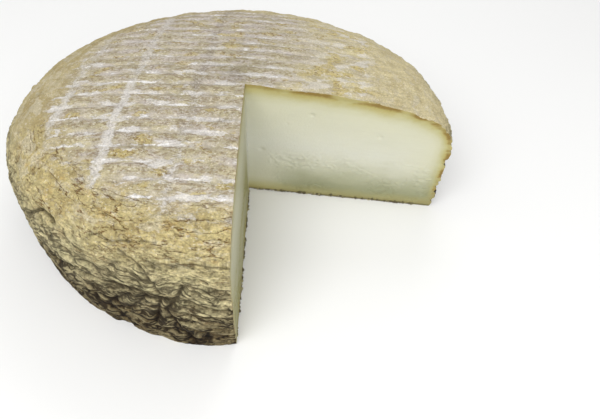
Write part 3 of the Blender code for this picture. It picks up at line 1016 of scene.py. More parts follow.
@dataclass
class Paste:
    """The cheese inside the rind, with its two cut faces."""

    rind: Rind
    cut: Cut
    spacing: float = 0.0005
    clearance: float = 0.55
    merge_distance: float = 1e-9
    smooth_edge: float = 0.0015
    sharp_angle: float = math.radians(50)
    outline_steps: int = 120
    foot_steps: int = 160
    drag: Unevenness = Unevenness((0.030, 0.0012, 1), Seed.KNIFE_DRAG)
    drag_depth: float = 0.00012
    scales: Patchiness = Patchiness((0.0023, 0.0015, 1), Seed.SCALES, -0.10, 0.25)
    scale_bend: Unevenness = Unevenness((0.006, 0.006, 1), Seed.SCALE_BEND, 0.002)
    scale_depth: float = 0.00042
    scale_height: float = 0.030
    scale_fade: float = 0.60
    scale_from_corner: Span = (0.008, 0.018)
    scale_slant: float = 0.3
    torn: Patchiness = Patchiness((0.016, 0.010, 1), Seed.TORN_PATCHES, -0.35, 0.15)
    eye_count: int = 12
    eye_seed: int = 5
    eye_reach: Span = (0.004, 0.095)
    eye_heights: Span = (0.004, 0.052)
    eye_sizes: Span = (0.0003, 0.0009)
    eye_stretch: float = 1.5
    eye_depth: float = 0.7

    def outline(self, angle: float) -> np.ndarray:
        """The rind's plain section along a cut, as distances from the corner and heights."""
        profile = self.rind.grid.profile
        edge = self.cut.reach(np.array(angle), profile.top_edge)
        distance = np.linspace(0, 1, self.outline_steps) * edge
        x, y = self.cut.place(np.array(angle), distance)
        height = profile.at(profile.down_at_radius(np.hypot(x, y)))[1]
        first = float(profile.down_at_radius(profile.top_edge))
        radii, heights = profile.at(np.linspace(first, profile.length, self.outline_steps))
        foot = np.linspace(float(self.cut.reach(np.array(angle), profile.base_radius)), 0, self.foot_steps)
        return np.concatenate(
            [
                np.stack([distance, height], axis=1),
                np.stack([self.cut.reach(np.array(angle), radii), heights], axis=1),
                np.stack([foot, 0 * foot], axis=1),
            ]
        )

    def depth_under(self, flat: np.ndarray, angle: float) -> np.ndarray:
        """How deep under the rind each point of a cut face lies."""
        line = self.outline(angle)
        nearest = np.full(len(flat), 1.0)
        for start in range(0, len(line), 40):
            part = line[start : start + 40]
            gaps = np.hypot(flat[:, None, 0] - part[None, :, 0], flat[:, None, 1] - part[None, :, 1])
            nearest = np.minimum(nearest, gaps.min(axis=1))
        return nearest

    def face_relief(self, flat: np.ndarray, number: int) -> np.ndarray:
        """How deep the knife's drag marks, torn scales and small eyes go into a cut face.

        Args:
            flat: Places on the face, as distances from the corner and heights.
            number: Which of the two faces it is.

        Returns:
            The depth at each place.
        """
        points = np.stack([flat[:, 0], flat[:, 1], np.full(len(flat), 0.1 * number)], axis=1)
        drag = 0.5 + 0.5 * smooth_noise(points, self.drag.size, self.drag.seed + number)
        bend = self.scale_bend.at(points)[:, None] * (1, 1, 0)
        torn = self.torn.at(points)
        beyond = flat[:, 0] + self.scale_slant * (flat[:, 1] - 0.5 * self.scale_height)
        torn *= smoothstep(*self.scale_from_corner, beyond)
        low = 1 - smoothstep(self.scale_fade * self.scale_height, self.scale_height, flat[:, 1])
        scales = 1 - self.scales.at(points + bend)
        relief = self.drag_depth * drag + self.scale_depth * scales * torn * low
        chance = random.Random(self.eye_seed + number)
        for _ in range(self.eye_count):
            place = (chance.uniform(*self.eye_reach), chance.uniform(*self.eye_heights))
            size = chance.uniform(*self.eye_sizes)
            off = np.hypot((flat[:, 0] - place[0]) / self.eye_stretch, flat[:, 1] - place[1]) / size
            relief += self.eye_depth * size * np.exp(-(off**2))
        return relief

    def face(self, points: list, column: int, angle: float, seam: list[int], inner: Sheet) -> list[Face]:
        """One cut face.

        Args:
            points: The paste's points, to which the face adds its own.
            column: The column of the inner surface that the face starts from, 0 or -1.
            angle: The face's direction from the corner.
            seam: The points up the corner, from the bottom to the top.
            inner: The surface under the rind.

        Returns:
            The face's triangles.
        """
        rim = [row[column] for row in inner.rows]
        loop = rim + seam[1:-1]
        along = np.array([math.cos(angle), math.sin(angle)])
        places = np.array([points[i] for i in loop])
        flat = np.stack([(places[:, :2] - np.array(self.cut.corner)) @ along, places[:, 2]], axis=1)
        flat[:, 0] = np.maximum(flat[:, 0], 0)
        low, high = flat.min(axis=0), flat.max(axis=0)
        inside = []
        step = self.spacing * math.sqrt(0.75)
        for row in range(1, int((high[1] - low[1]) / step)):
            height = low[1] + row * step
            for place in range(int((high[0] - low[0]) / self.spacing) + 1):
                inside.append((low[0] + (place + 0.5 * (row % 2) + 0.25) * self.spacing, height))
        inside = np.array(inside)
        clear = self.clearance * self.spacing
        enclosed = self.encloses(flat, inside) & (self.gap_to(flat, inside) > clear)
        inside = inside[enclosed & (inside[:, 0] > clear)]
        cloud = [Vector(p) for p in np.concatenate([flat, inside])]
        edges = [(i, (i + 1) % len(loop)) for i in range(len(loop))]
        made, _, triangles, originals, _, _ = delaunay_2d_cdt(cloud, edges, [], 1, self.merge_distance)
        first = len(points)
        edge = smoothstep(0.0, self.smooth_edge, self.gap_to(flat, inside))
        relief = self.face_relief(inside, 0 if column == 0 else 1) * edge
        toward = np.array([math.sin(angle), -math.cos(angle)]) * (1 if column == 0 else -1)
        x, y = self.cut.place(np.array(angle), inside[:, 0])
        for i in range(len(inside)):
            shift = -relief[i] * toward
            points.append((x[i] + shift[0], y[i] + shift[1], inside[i, 1]))
        names = []
        for found in originals:
            source = found[0]
            names.append(loop[source] if source < len(loop) else first + source - len(loop))
        faces = [tuple(names[i] for i in triangle) for triangle in triangles]
        return faces if column == 0 else [tuple(reversed(f)) for f in faces]

    @staticmethod
    def gap_to(line: np.ndarray, points: np.ndarray) -> np.ndarray:
        """How far each point lies from a closed outline."""
        nearest = np.full(len(points), 1.0)
        for start, end in zip(line, np.roll(line, -1, axis=0)):
            run = end - start
            share = np.clip((points - start) @ run / max(run @ run, 1e-12), 0, 1)
            away = points - start - share[:, None] * run
            nearest = np.minimum(nearest, np.hypot(away[:, 0], away[:, 1]))
        return nearest

    @staticmethod
    def encloses(line: np.ndarray, points: np.ndarray) -> np.ndarray:
        """Which points lie inside a closed outline."""
        inside = np.zeros(len(points), bool)
        ends = np.roll(line, -1, axis=0)
        for (x0, y0), (x1, y1) in zip(line, ends):
            if y0 == y1:
                continue
            crosses = (y0 > points[:, 1]) != (y1 > points[:, 1])
            at = x0 + (points[:, 1] - y0) * (x1 - x0) / (y1 - y0)
            inside ^= crosses & (points[:, 0] < at)
        return inside

    def build(self, finish: bpy.types.Material) -> None:
        """Makes the paste as one closed piece."""
        inner = self.rind.inner
        points = [tuple(p) for p in inner.points]
        hidden = sheet_faces(inner.rows)
        top, bottom = inner.rows[0][0], inner.rows[-1][0]
        rise = points[top][2] - points[bottom][2]
        count = round(rise / self.spacing)
        seam = [bottom]
        for i in range(1, count):
            seam.append(len(points))
            points.append((*self.cut.corner, points[bottom][2] + rise * i / count))
        seam.append(top)
        back = self.face(points, 0, self.cut.back_angle, seam, inner)
        left = self.face(points, -1, self.cut.left_angle, seam, inner)
        mesh = bpy.data.meshes.new("paste")
        mesh.from_pydata(points, [], back + left + hidden)
        mesh.materials.append(finish)
        mesh.shade_smooth()
        mesh.set_sharp_from_angle(angle=self.sharp_angle)
        places = np.array(points)
        off = places[:, :2] - np.array(self.cut.corner)
        under = np.zeros(len(points))
        for angle in (self.cut.back_angle, self.cut.left_angle):
            along = off @ np.array([math.cos(angle), math.sin(angle)])
            across = off @ np.array([math.sin(angle), -math.cos(angle)])
            near = (np.abs(across) < 2 * MM) & (along > -MM)
            flat = np.stack([along[near], places[near, 2]], axis=1)
            under[near] = self.depth_under(flat, angle)
        add_attribute(mesh, "under", under / MM)
        add_piece("paste", mesh)


@dataclass
class Crumbs:
    """The crumbs that the knife left along the foot of the cuts."""

    cut: Cut
    clusters: int = 84
    seed: int = 11
    reach: float = 0.086
    end_margin: float = 0.003
    smallest: float = 0.00016
    largest: float = 0.00070
    few_large: float = 2.2
    fewest: int = 2
    most: int = 12
    scatter: float = 0.0012
    offsets: Span = (-0.7, 0.35)
    stretches: Span = (0.6, 1.4)
    bump_depth: float = 0.5
    bump_pitch: float = 1.9
    bump_spread: float = 50

    def build(self, finish: bpy.types.Material) -> None:
        """Makes all crumbs as one piece of many small lumps."""
        chance = random.Random(self.seed)
        work = bmesh.new()
        tone = work.verts.layers.float.new("tone")
        for _ in range(self.clusters):
            angle, toward = chance.choice(((self.cut.back_angle, 1), (self.cut.left_angle, -1)))
            middle = chance.uniform(self.end_margin, self.reach - self.end_margin)
            for _ in range(chance.randint(self.fewest, self.most)):
                size = self.smallest + (self.largest - self.smallest) * chance.random() ** self.few_large
                off = size * chance.uniform(*self.offsets)
                x, y = self.cut.place(np.array(angle), np.array(middle + chance.gauss(0, self.scatter)))
                x, y = x + off * toward * math.sin(angle), y - off * toward * math.cos(angle)
                made = bmesh.ops.create_icosphere(work, subdivisions=2, radius=1.0)["verts"]
                darkness = chance.uniform(0, 1)
                stretch = Vector([chance.uniform(*self.stretches) for _ in range(3)])
                spot = Vector((darkness * self.bump_spread, toward, 0))
                for vert in made:
                    bump = 1 + self.bump_depth * noise.noise(vert.co * self.bump_pitch + spot)
                    vert.co = Vector(a * b * bump * size for a, b in zip(vert.co, stretch))
                    vert[tone] = darkness
                lowest = min(vert.co.z for vert in made)
                bmesh.ops.translate(work, verts=made, vec=Vector((float(x), float(y), -lowest)))
        mesh = bpy.data.meshes.new("crumbs")
        work.to_mesh(mesh)
        work.free()
        mesh.materials.append(finish)
        mesh.shade_smooth()
        add_piece("crumbs", mesh)


Number = Union["Wire", float, int]


class Wire:
    """An output of a node, on which Python's operators add Math nodes."""

    def __init__(self, graph: "Graph", socket: bpy.types.NodeSocket) -> None:
        """Wraps a socket of a graph."""
        self.graph = graph
        self.socket = socket

    def __add__(self, other: Number) -> "Wire":
        """Self plus other."""
        return self.graph.math("ADD", self, other)

    def __radd__(self, other: Number) -> "Wire":
        """Other plus self."""
        return self.graph.math("ADD", other, self)

    def __sub__(self, other: Number) -> "Wire":
        """Self minus other."""
        return self.graph.math("SUBTRACT", self, other)

    def __rsub__(self, other: Number) -> "Wire":
        """Other minus self."""
        return self.graph.math("SUBTRACT", other, self)

    def __mul__(self, other: Number) -> "Wire":
        """Self times other."""
        return self.graph.math("MULTIPLY", self, other)

    def __rmul__(self, other: Number) -> "Wire":
        """Other times self."""
        return self.graph.math("MULTIPLY", other, self)

    def __truediv__(self, other: Number) -> "Wire":
        """Self divided by other."""
        return self.graph.math("DIVIDE", self, other)

    def __abs__(self) -> "Wire":
        """The size of self."""
        return self.graph.math("ABSOLUTE", self)


Colour = tuple[float, float, float, float]


def shade(red: int, green: int, blue: int) -> Colour:
    """A colour given as a screen shows it, from 0 to 255, for use in a shader."""
    linear = []
    for value in (red, green, blue):
        part = value / 255
        linear.append(part / 12.92 if part <= 0.04045 else ((part + 0.055) / 1.055) ** 2.4)
    return (*linear, 1.0)


@dataclass(frozen=True)
class Sway:
    """Noise around 0 in a material: its features' size in mm along each axis and its whole reach."""

    size: Size
    reach: float
    detail: float = 2.0
    rough: float = 0.5


@dataclass(frozen=True)
class Patches:
    """Patches in a material: their size in mm, and between which values of the noise they fade in."""

    size: Size
    low: float
    high: float
    detail: float = 2.0
    rough: float = 0.5


@dataclass(frozen=True)
class Threads:
    """Lines in a material where noise crosses its middle: its size in mm, and the lines' width."""

    size: Size
    width: float
    detail: float = 2.0
    rough: float = 0.5


CELL_BEND = Sway((2, 2, 2), 1.6)


class Graph:
    """A material's nodes, made one after another by expressions."""

    def __init__(self, name: str) -> None:
        """Starts a material with a Principled BSDF."""
        self.material = bpy.data.materials.new(name)
        self.material.use_nodes = True
        self.tree = self.material.node_tree
        self.noises = 0
        self.shader = self.tree.nodes["Principled BSDF"]

    def node(self, kind: str, settings: dict, inputs: dict, output: Union[int, str] = 0) -> Wire:
        """Adds a node.

        Args:
            kind: The node's type.
            settings: Its own settings, set before its sockets. Under "stops", a ramp's stops.
            inputs: Values or wires by socket name or number.
            output: Which of its outputs is wanted.

        Returns:
            That output.
        """
        made = self.tree.nodes.new(kind)
        for name, value in settings.items():
            if name == "stops":
                self.set_stops(made.color_ramp, value)
            else:
                setattr(made, name, value)
        for name, value in inputs.items():
            self.feed(made.inputs[name], value)
        return Wire(self, made.outputs[output])

    @staticmethod
    def set_stops(ramp: bpy.types.ColorRamp, stops: Sequence[tuple[float, Colour]]) -> None:
        """Gives a colour ramp its stops."""
        while len(ramp.elements) < len(stops):
            ramp.elements.new(0.5)
        for element, (place, colour) in zip(ramp.elements, stops):
            element.position = place
            element.color = colour

    def feed(self, socket: bpy.types.NodeSocket, value: object) -> None:
        """Links a wire to a socket, or sets the socket's value."""
        if isinstance(value, Wire):
            self.tree.links.new(value.socket, socket)
        else:
            socket.default_value = value

    def math(self, operation: str, *values: Number) -> Wire:
        """A Math node."""
        return self.node("ShaderNodeMath", {"operation": operation}, dict(enumerate(values)))

    def rise(self, value: Wire, low: float, high: float) -> Wire:
        """A smooth rise from 0 where the value is low to 1 where it is high."""
        inputs = {"Value": value, "From Min": low, "From Max": high}
        return self.node("ShaderNodeMapRange", {"interpolation_type": "SMOOTHSTEP"}, inputs)

    def mix(self, share: Number, first: Union[Wire, Colour], second: Union[Wire, Colour]) -> Wire:
        """A colour between two."""
        return self.node("ShaderNodeMix", {"data_type": "RGBA"}, {0: share, 6: first, 7: second}, 2)

    def tint(self, colour: Wire, factor: Wire) -> Wire:
        """A colour made lighter or darker by a factor around 1."""
        return self.node("ShaderNodeVectorMath", {"operation": "SCALE"}, {0: colour, "Scale": factor})

    def noise(self, place: Wire, size: Size, detail: float = 2.0, rough: float = 0.5) -> Wire:
        """Noise from 0 to 1, different each time, whose features have a size in mm along each axis."""
        self.noises += 1
        shift = tuple(self.noises * step for step in (13.7, -7.9, 5.3))
        inputs = {0: place, 1: tuple(1 / length for length in size), 2: shift}
        spot = self.node("ShaderNodeVectorMath", {"operation": "MULTIPLY_ADD"}, inputs)
        inputs = {"Vector": spot, "Scale": 1.0, "Detail": detail, "Roughness": rough}
        return self.node("ShaderNodeTexNoise", {}, inputs, "Fac")

    def sway(self, place: Wire, sway: Sway) -> Wire:
        """Noise around 0, which goes half its reach each way."""
        return (self.noise(place, sway.size, sway.detail, sway.rough) - 0.5) * sway.reach

    def patches(self, place: Wire, patches: Patches, more: Union[Wire, None] = None) -> Wire:
        """Patches from 0 to 1, which grow where more is added to their noise."""
        value = self.noise(place, patches.size, patches.detail, patches.rough)
        return self.rise(value if more is None else value + more, patches.low, patches.high)

    def threads(self, place: Wire, threads: Threads) -> Wire:
        """Lines that are 1 in their middle."""
        return self.ridge(self.noise(place, threads.size, threads.detail, threads.rough), threads.width)

    def cells(self, place: Wire, size: Size) -> Wire:
        """The distance from the middle of the nearest of many uneven cells, which have a size in mm."""
        inputs = {0: place, 1: tuple(1 / length for length in size), 2: self.sway(place, CELL_BEND)}
        spot = self.node("ShaderNodeVectorMath", {"operation": "MULTIPLY_ADD"}, inputs)
        return self.node("ShaderNodeTexVoronoi", {}, {"Vector": spot, "Scale": 1.0}, "Distance")

    def ridge(self, value: Wire, width: float) -> Wire:
        """A line that is 1 where noise crosses its middle, and 0 a width away from that."""
        return 1 - self.rise(abs(value - 0.5), 0.0, width)

    def attribute(self, name: str) -> Wire:
        """A number that the mesh holds for each of its points."""
        return self.node("ShaderNodeAttribute", {"attribute_name": name}, {}, "Fac")

    def place(self) -> Wire:
        """The place on the object, in mm."""
        spot = self.node("ShaderNodeTexCoord", {}, {}, "Object")
        return self.node("ShaderNodeVectorMath", {"operation": "SCALE"}, {0: spot, "Scale": 1 / MM})

    def axes(self, place: Wire) -> tuple[Wire, Wire, Wire]:
        """The X, Y and Z of a place."""
        parts = self.tree.nodes.new("ShaderNodeSeparateXYZ")
        self.feed(parts.inputs[0], place)
        return tuple(Wire(self, output) for output in parts.outputs)

    def set(self, **values: object) -> None:
        """Sets sockets of the shader, by names with underscores for spaces."""
        for name, value in values.items():
            self.feed(self.shader.inputs[name.replace("_", " ")], value)

    def bump(self, height: Wire, strength: float = 1.0) -> Wire:
        """A normal bumped by a height in mm."""
        inputs = {"Height": height, "Distance": MM, "Strength": strength}
        return self.node("ShaderNodeBump", {}, inputs, "Normal")


@dataclass(frozen=True)
class Marks:
    """The rack's marks at a place: soft mould, bright mould, the painted shadow line beside a bar together
    with the darker bare strip, and the distance from the nearest bar in mm."""

    soft: Wire
    bright: Wire
    line: Wire
    off_bar: Wire


@dataclass(frozen=True)
class MarksFinish:
    """The mould along the rack's marks: soft bars, bright strokes, painted shadow lines beside the bars, a
    darker bare strip and broad bands.
    """

    rack: Rack
    mould: Colour = shade(216, 212, 208)
    bright: Colour = shade(238, 236, 234)
    # The line colour paints the shadow beside each bar, and the darker bare strip too.
    line: Colour = shade(132, 118, 98)
    cream: Colour = shade(228, 222, 208)
    band_strengths: tuple[float, ...] = (0.75, 0.95, 0.35, 0.30, 0.40, 0.3)
    bare_band: int = 2
    bare_width: Span = (0.8, 2.8)
    bare_from: Span = (-45, -25)
    strip_from: Span = (-56, -48)
    line_shift: float = 1.6
    wobble: Sway = Sway((17, 11, 9), 3.2)
    fine: Sway = Sway((2.6, 1.5, 2), 2.4, 3.0, 0.65)
    lean: Sway = Sway((30, 16, 20), 6, 3.0)
    ragged: Sway = Sway((3.4, 1.7, 2), 1.5, 4.0, 0.7)
    blotch: Sway = Sway((11, 4.2, 6), 3.2, 3.0, 0.6)
    stroke: Sway = Sway((11, 4.0, 6), 3.4, 3.0, 0.6)
    shadow_patches: Patches = Patches((9, 3.4, 5), 0.46, 0.60, 3.0, 0.6)
    worn_patches: Patches = Patches((4, 7, 5), 0.34, 0.58, 4.0, 0.7)
    flecks: Patches = Patches((1.4, 0.8, 1.0), 0.57, 0.70)

    def make(self, graph: Graph, place: Wire, kept: Wire) -> Marks:
        """The rack's marks.

        Args:
            graph: The material's graph.
            place: The place in mm.
            kept: How strong the marks are there.

        Returns:
            The marks.
        """
        x, y, _ = graph.axes(place)
        turn_x, turn_y = math.cos(self.rack.angle), math.sin(self.rack.angle)
        wobble = graph.sway(place, self.wobble)
        fine = graph.sway(place, self.fine)
        lean = graph.sway(place, self.lean)
        along = x * turn_x + y * turn_y + wobble + fine + lean
        across = y * turn_x - x * turn_y - self.rack.bar_shift / MM + wobble * 0.5 + fine * 0.8
        pitch = self.rack.bar_pitch / MM
        off_bar = graph.math("PINGPONG", across + 40 * pitch, pitch / 2)
        off_shadow = graph.math("PINGPONG", across + 40 * pitch + self.line_shift, pitch / 2)
        ragged = graph.sway(place, self.ragged)
        blotch = graph.sway(place, self.blotch)
        soft = graph.rise(0.34 - off_bar * 0.27 + ragged + blotch * 1.5, 0.0, 0.70)
        stroke = graph.sway(place, self.stroke)
        bright = graph.rise(0.02 - off_bar * 0.42 + ragged * 0.9 + stroke, 0.0, 0.40)
        # The line is painted shadow on the side of each bar toward -Y, shown in patches; the bare strip
        # along the third band joins it and is the rind's own darker colour.
        shadow_where = graph.patches(place, self.shadow_patches)
        line = (1 - graph.rise(off_shadow - ragged * 0.4, 0.1, 0.8)) * shadow_where
        worn = graph.patches(place, self.worn_patches)
        strip = abs(along - self.rack.band_places[self.bare_band] / MM)
        bare = (1 - graph.rise(strip, *self.bare_width)) * graph.rise(y + wobble * 3, *self.bare_from)
        line = graph.math("MAXIMUM", line, bare * (0.3 + 0.5 * worn))
        bands: Number = 0.0
        for middle, strength in zip(self.rack.band_places, self.band_strengths):
            off_band = abs(along - middle / MM)
            across_band = graph.rise(0.72 - off_band * 0.25 + ragged * 1.1, 0.0, 0.50)
            bands = graph.math("MAXIMUM", bands, across_band * strength)
        bands = bands * (0.45 + 0.55 * worn)
        near_strip = graph.rise(0.45 - strip * 0.30 + ragged * 1.6, 0.0, 0.5)
        near_strip = near_strip * (1 - graph.rise(y + wobble * 2, *self.strip_from))
        bands = graph.math("MAXIMUM", bands, near_strip * (0.25 + 0.55 * worn))
        soft = graph.math("MAXIMUM", soft, bands)
        return Marks(soft * kept, bright * kept, line * kept, off_bar)

    def colour(
        self, graph: Graph, place: Wire, marks: Marks, colour: Wire, grain: Wire, kept: Wire
    ) -> tuple[Wire, Wire]:
        """The colour with the marks on it, and how thick the mould is."""
        # Painted shadow beside the bars, and the darker bare strip, in the line colour.
        colour = graph.mix(marks.line * 0.75, colour, self.line)
        thick = graph.rise(marks.soft + (grain - 0.5) * 1.3, 0.10, 0.90)
        colour = graph.mix(thick * 0.82, colour, self.mould)
        flecks = graph.patches(place, self.flecks, marks.soft * 0.05)
        colour = graph.mix(flecks * kept * 0.6, colour, self.cream)
        shine = graph.rise(marks.bright + (grain - 0.5) * 0.8, 0.20, 0.85)
        return graph.mix(shine * 0.85, colour, self.bright), graph.math("MAXIMUM", thick, shine)


@dataclass(frozen=True)
class GroundFinish:
    """The top inside its rim, between the marks: greyish, with khaki, mauve and ochre in it."""

    ground: Colour = shade(198, 189, 172)
    ground_dark: Colour = shade(167, 156, 135)
    khaki: Colour = shade(172, 162, 132)
    mauve: Colour = shade(196, 187, 182)
    straw: Colour = shade(201, 191, 155)
    straw_light: Colour = shade(208, 197, 155)
    brown: Colour = shade(142, 124, 94)
    mould: Colour = shade(216, 212, 208)
    ochre: Colour = shade(194, 176, 108)
    rust: Colour = shade(122, 96, 56)
    between_bars: Span = (0.9, 2.8)
    shades: Patches = Patches((9, 4.5, 6), 0.40, 0.68, 4.0, 0.7)
    khaki_patches: Patches = Patches((8, 4, 5), 0.48, 0.62, 4.0, 0.6)
    straw_patches: Patches = Patches((12, 7, 8), 0.44, 0.60, 4.0, 0.65)
    mauve_patches: Patches = Patches((12, 5, 8), 0.44, 0.60, 4.0, 0.6)
    brown_patches: Patches = Patches((2.0, 1.3, 1.4), 0.53, 0.64, 3.0, 0.7)
    light_patches: Patches = Patches((11, 7, 8), 0.38, 0.62, 4.0, 0.65)
    lilac_patches: Patches = Patches((9, 6, 6), 0.51, 0.57, 4.0, 0.65)
    fringe_shift: Size = (0.3, 1.1, 0)
    ragged: Sway = Sway((2.2, 1.6, 2.0), 0.6, 3.0, 0.65)
    on_crag: Span = (0.30, 0.48)
    more_clusters: Patches = Patches((10, 7, 7), 0.56, 0.61)
    rust_patches: Patches = Patches((1.9, 1.4, 1.4), 0.53, 0.60, 3.0, 0.7)
    cluster_edge: float = 0.45

    def colour(
        self, graph: Graph, place: Wire, marks: Marks, crag: Wire, grain: Wire, near: Wire, faint: Wire
    ) -> Wire:
        """The ground's colour."""
        shades = graph.patches(place, self.shades, (grain - 0.5) * 0.5)
        colour = graph.mix(shades, self.ground, self.ground_dark)
        cell = graph.rise(marks.off_bar, *self.between_bars)
        khaki = graph.patches(place, self.khaki_patches, cell * 0.10)
        colour = graph.mix(khaki * 0.75, colour, self.khaki)
        straw = graph.patches(place, self.straw_patches)
        colour = graph.mix(straw * (0.25 + 0.45 * near), colour, self.straw)
        mauve = graph.patches(place, self.mauve_patches, near * -0.05)
        colour = graph.mix(mauve * (0.80 - 0.20 * near), colour, self.mauve)
        brown = graph.patches(place, self.brown_patches, cell * 0.06)
        colour = graph.mix(brown * (0.20 + 0.50 * cell), colour, self.brown)
        ragged = graph.sway(place, self.ragged)
        light = 0.30 + 0.65 * graph.patches(place, self.light_patches)
        colour = graph.mix(faint * light, colour, self.straw_light)
        lilac = graph.patches(place, self.lilac_patches)
        inputs = {0: place, 1: self.fringe_shift}
        ahead = graph.node("ShaderNodeVectorMath", {"operation": "ADD"}, inputs)
        fringe = graph.patches(ahead, self.lilac_patches) * (1 - lilac)
        colour = graph.mix(fringe * faint * 0.60, colour, self.ground_dark)
        colour = graph.mix(lilac * faint * 0.80, colour, self.mould)
        cluster = graph.rise(crag + ragged, *self.on_crag)
        more = graph.patches(place, self.more_clusters, ragged * 0.16) * faint
        cluster = graph.math("MAXIMUM", cluster, more)
        colour = graph.mix(cluster * (0.42 + 0.15 * near + 0.30 * faint), colour, self.ochre)
        rust = graph.patches(place, self.rust_patches)
        edge = graph.ridge(cluster, self.cluster_edge)
        return graph.mix(rust * graph.math("MAXIMUM", cluster * 0.8, edge) * 0.95, colour, self.rust)


@dataclass(frozen=True)
class BeltFinish:
    """The plain belt round the rim: golden and cracked where it has dried, or else paler."""

    gold: Colour = shade(197, 182, 130)
    gold_dark: Colour = shade(172, 155, 106)
    pale: Colour = shade(179, 165, 123)
    pale_dark: Colour = shade(161, 145, 103)
    pale_light: Colour = shade(205, 193, 153)
    orange: Colour = shade(188, 156, 92)
    plate_grey: Colour = shade(200, 191, 166)
    brown: Colour = shade(142, 124, 94)
    cream: Colour = shade(228, 222, 208)
    shades: Patches = Patches((10, 10, 4), 0.38, 0.66, 4.0, 0.65)
    orange_patches: Patches = Patches((7, 7, 3.5), 0.54, 0.68, 4.0, 0.65)
    plate_edge: Sway = Sway((5, 5, 3), 0.9, 3.0)
    on_plate: Span = (0.60, 0.95)
    grey_patches: Patches = Patches((10, 10, 4), 0.50, 0.64, 4.0, 0.7)
    specks: Patches = Patches((1.6, 1.6, 0.9), 0.52, 0.68, 3.0, 0.7)
    flecks: Patches = Patches((1.4, 1.4, 0.9), 0.58, 0.72)
    long_cracks: Threads = Threads((20, 20, 4.2), 0.018, 4.0, 0.55)
    long_patches: Patches = Patches((13, 13, 5), 0.45, 0.50, 3.0)
    short_cracks: Threads = Threads((9, 9, 2.2), 0.022, 4.0, 0.58)
    short_patches: Patches = Patches((8, 8, 4), 0.53, 0.60, 3.0)

    def colour(
        self, graph: Graph, skin: Wire, dry: Wire, plate: Wire, grain: Wire, right: Wire
    ) -> tuple[Wire, Wire]:
        """The belt's colour, and the fine cracks where it has dried."""
        shades = graph.patches(skin, self.shades, (grain - 0.5) * 0.4)
        golden = graph.mix(shades, self.gold, self.gold_dark)
        plain = graph.mix(shades, self.pale, self.pale_dark)
        plain = graph.mix(right * (1 - shades * 0.4), plain, self.pale_light)
        colour = graph.mix(dry, plain, golden)
        orange = graph.patches(skin, self.orange_patches)
        colour = graph.mix(orange * (0.10 + 0.35 * dry), colour, self.orange)
        grey = graph.rise(plate + graph.sway(skin, self.plate_edge), *self.on_plate)
        grey = graph.math("MAXIMUM", grey, graph.patches(skin, self.grey_patches))
        colour = graph.mix(grey * 0.6, colour, self.plate_grey)
        specks = graph.patches(skin, self.specks)
        colour = graph.mix(specks * (0.08 + 0.57 * dry + 0.30 * right * (1 - dry)), colour, self.brown)
        flecks = graph.patches(skin, self.flecks)
        colour = graph.mix(flecks * 0.4, colour, self.cream)
        long = graph.threads(skin, self.long_cracks) * graph.patches(skin, self.long_patches)
        short = graph.threads(skin, self.short_cracks) * graph.patches(skin, self.short_patches)
        return colour, graph.math("MAXIMUM", long, short * 0.8) * dry


@dataclass(frozen=True)
class FlankFinish:
    """The folded side between its creases, darker toward the foot partly with dirt and partly with painted
    shade, and the creases drawn on it.
    """

    side: Colour = shade(210, 198, 154)
    side_green: Colour = shade(168, 162, 124)
    # The foot's darker colour, partly dirt and partly painted shade; the dark patches use it too.
    side_low: Colour = shade(90, 77, 52)
    shades: Patches = Patches((7, 7, 2.2), 0.40, 0.64, 4.0, 0.7)
    dark_patches: Patches = Patches((14, 14, 6), 0.46, 0.62, 4.0, 0.65)
    flecks: Patches = Patches((1.8, 1.8, 0.8), 0.56, 0.70, 3.0, 0.7)
    broad_creases: Threads = Threads((15, 15, 3.9), 0.070, 3.0)
    broad_patches: Patches = Patches((15, 15, 7), 0.42, 0.52, 3.0)
    thin_creases: Threads = Threads((9, 9, 2.3), 0.065)
    thin_patches: Patches = Patches((12, 12, 6), 0.40, 0.54, 3.0)

    def colour(self, graph: Graph, skin: Wire, low: Wire, grain: Wire) -> Wire:
        """The colour of the side between its creases."""
        shades = graph.patches(skin, self.shades, (grain - 0.5) * 0.5)
        colour = graph.mix(shades * 0.85, self.side, self.side_green)
        patches = graph.patches(skin, self.dark_patches)
        colour = graph.mix(patches * (0.25 + 0.35 * low), colour, self.side_low)
        # Darker toward the foot, partly dirt and partly painted shade.
        colour = graph.mix(low * 0.72, colour, self.side_low)
        flecks = graph.patches(skin, self.flecks)
        return graph.mix(flecks * 0.45, colour, self.side)

    def creases(self, graph: Graph, skin: Wire) -> Wire:
        """How near a crease of the side is, broad or thin, for those that are only drawn."""
        broad = graph.threads(skin, self.broad_creases) * graph.patches(skin, self.broad_patches)
        thin = graph.threads(skin, self.thin_creases)
        thin_where = graph.patches(skin, self.thin_patches)
        return graph.math("MAXIMUM", broad, thin * (0.35 + 0.65 * thin_where))


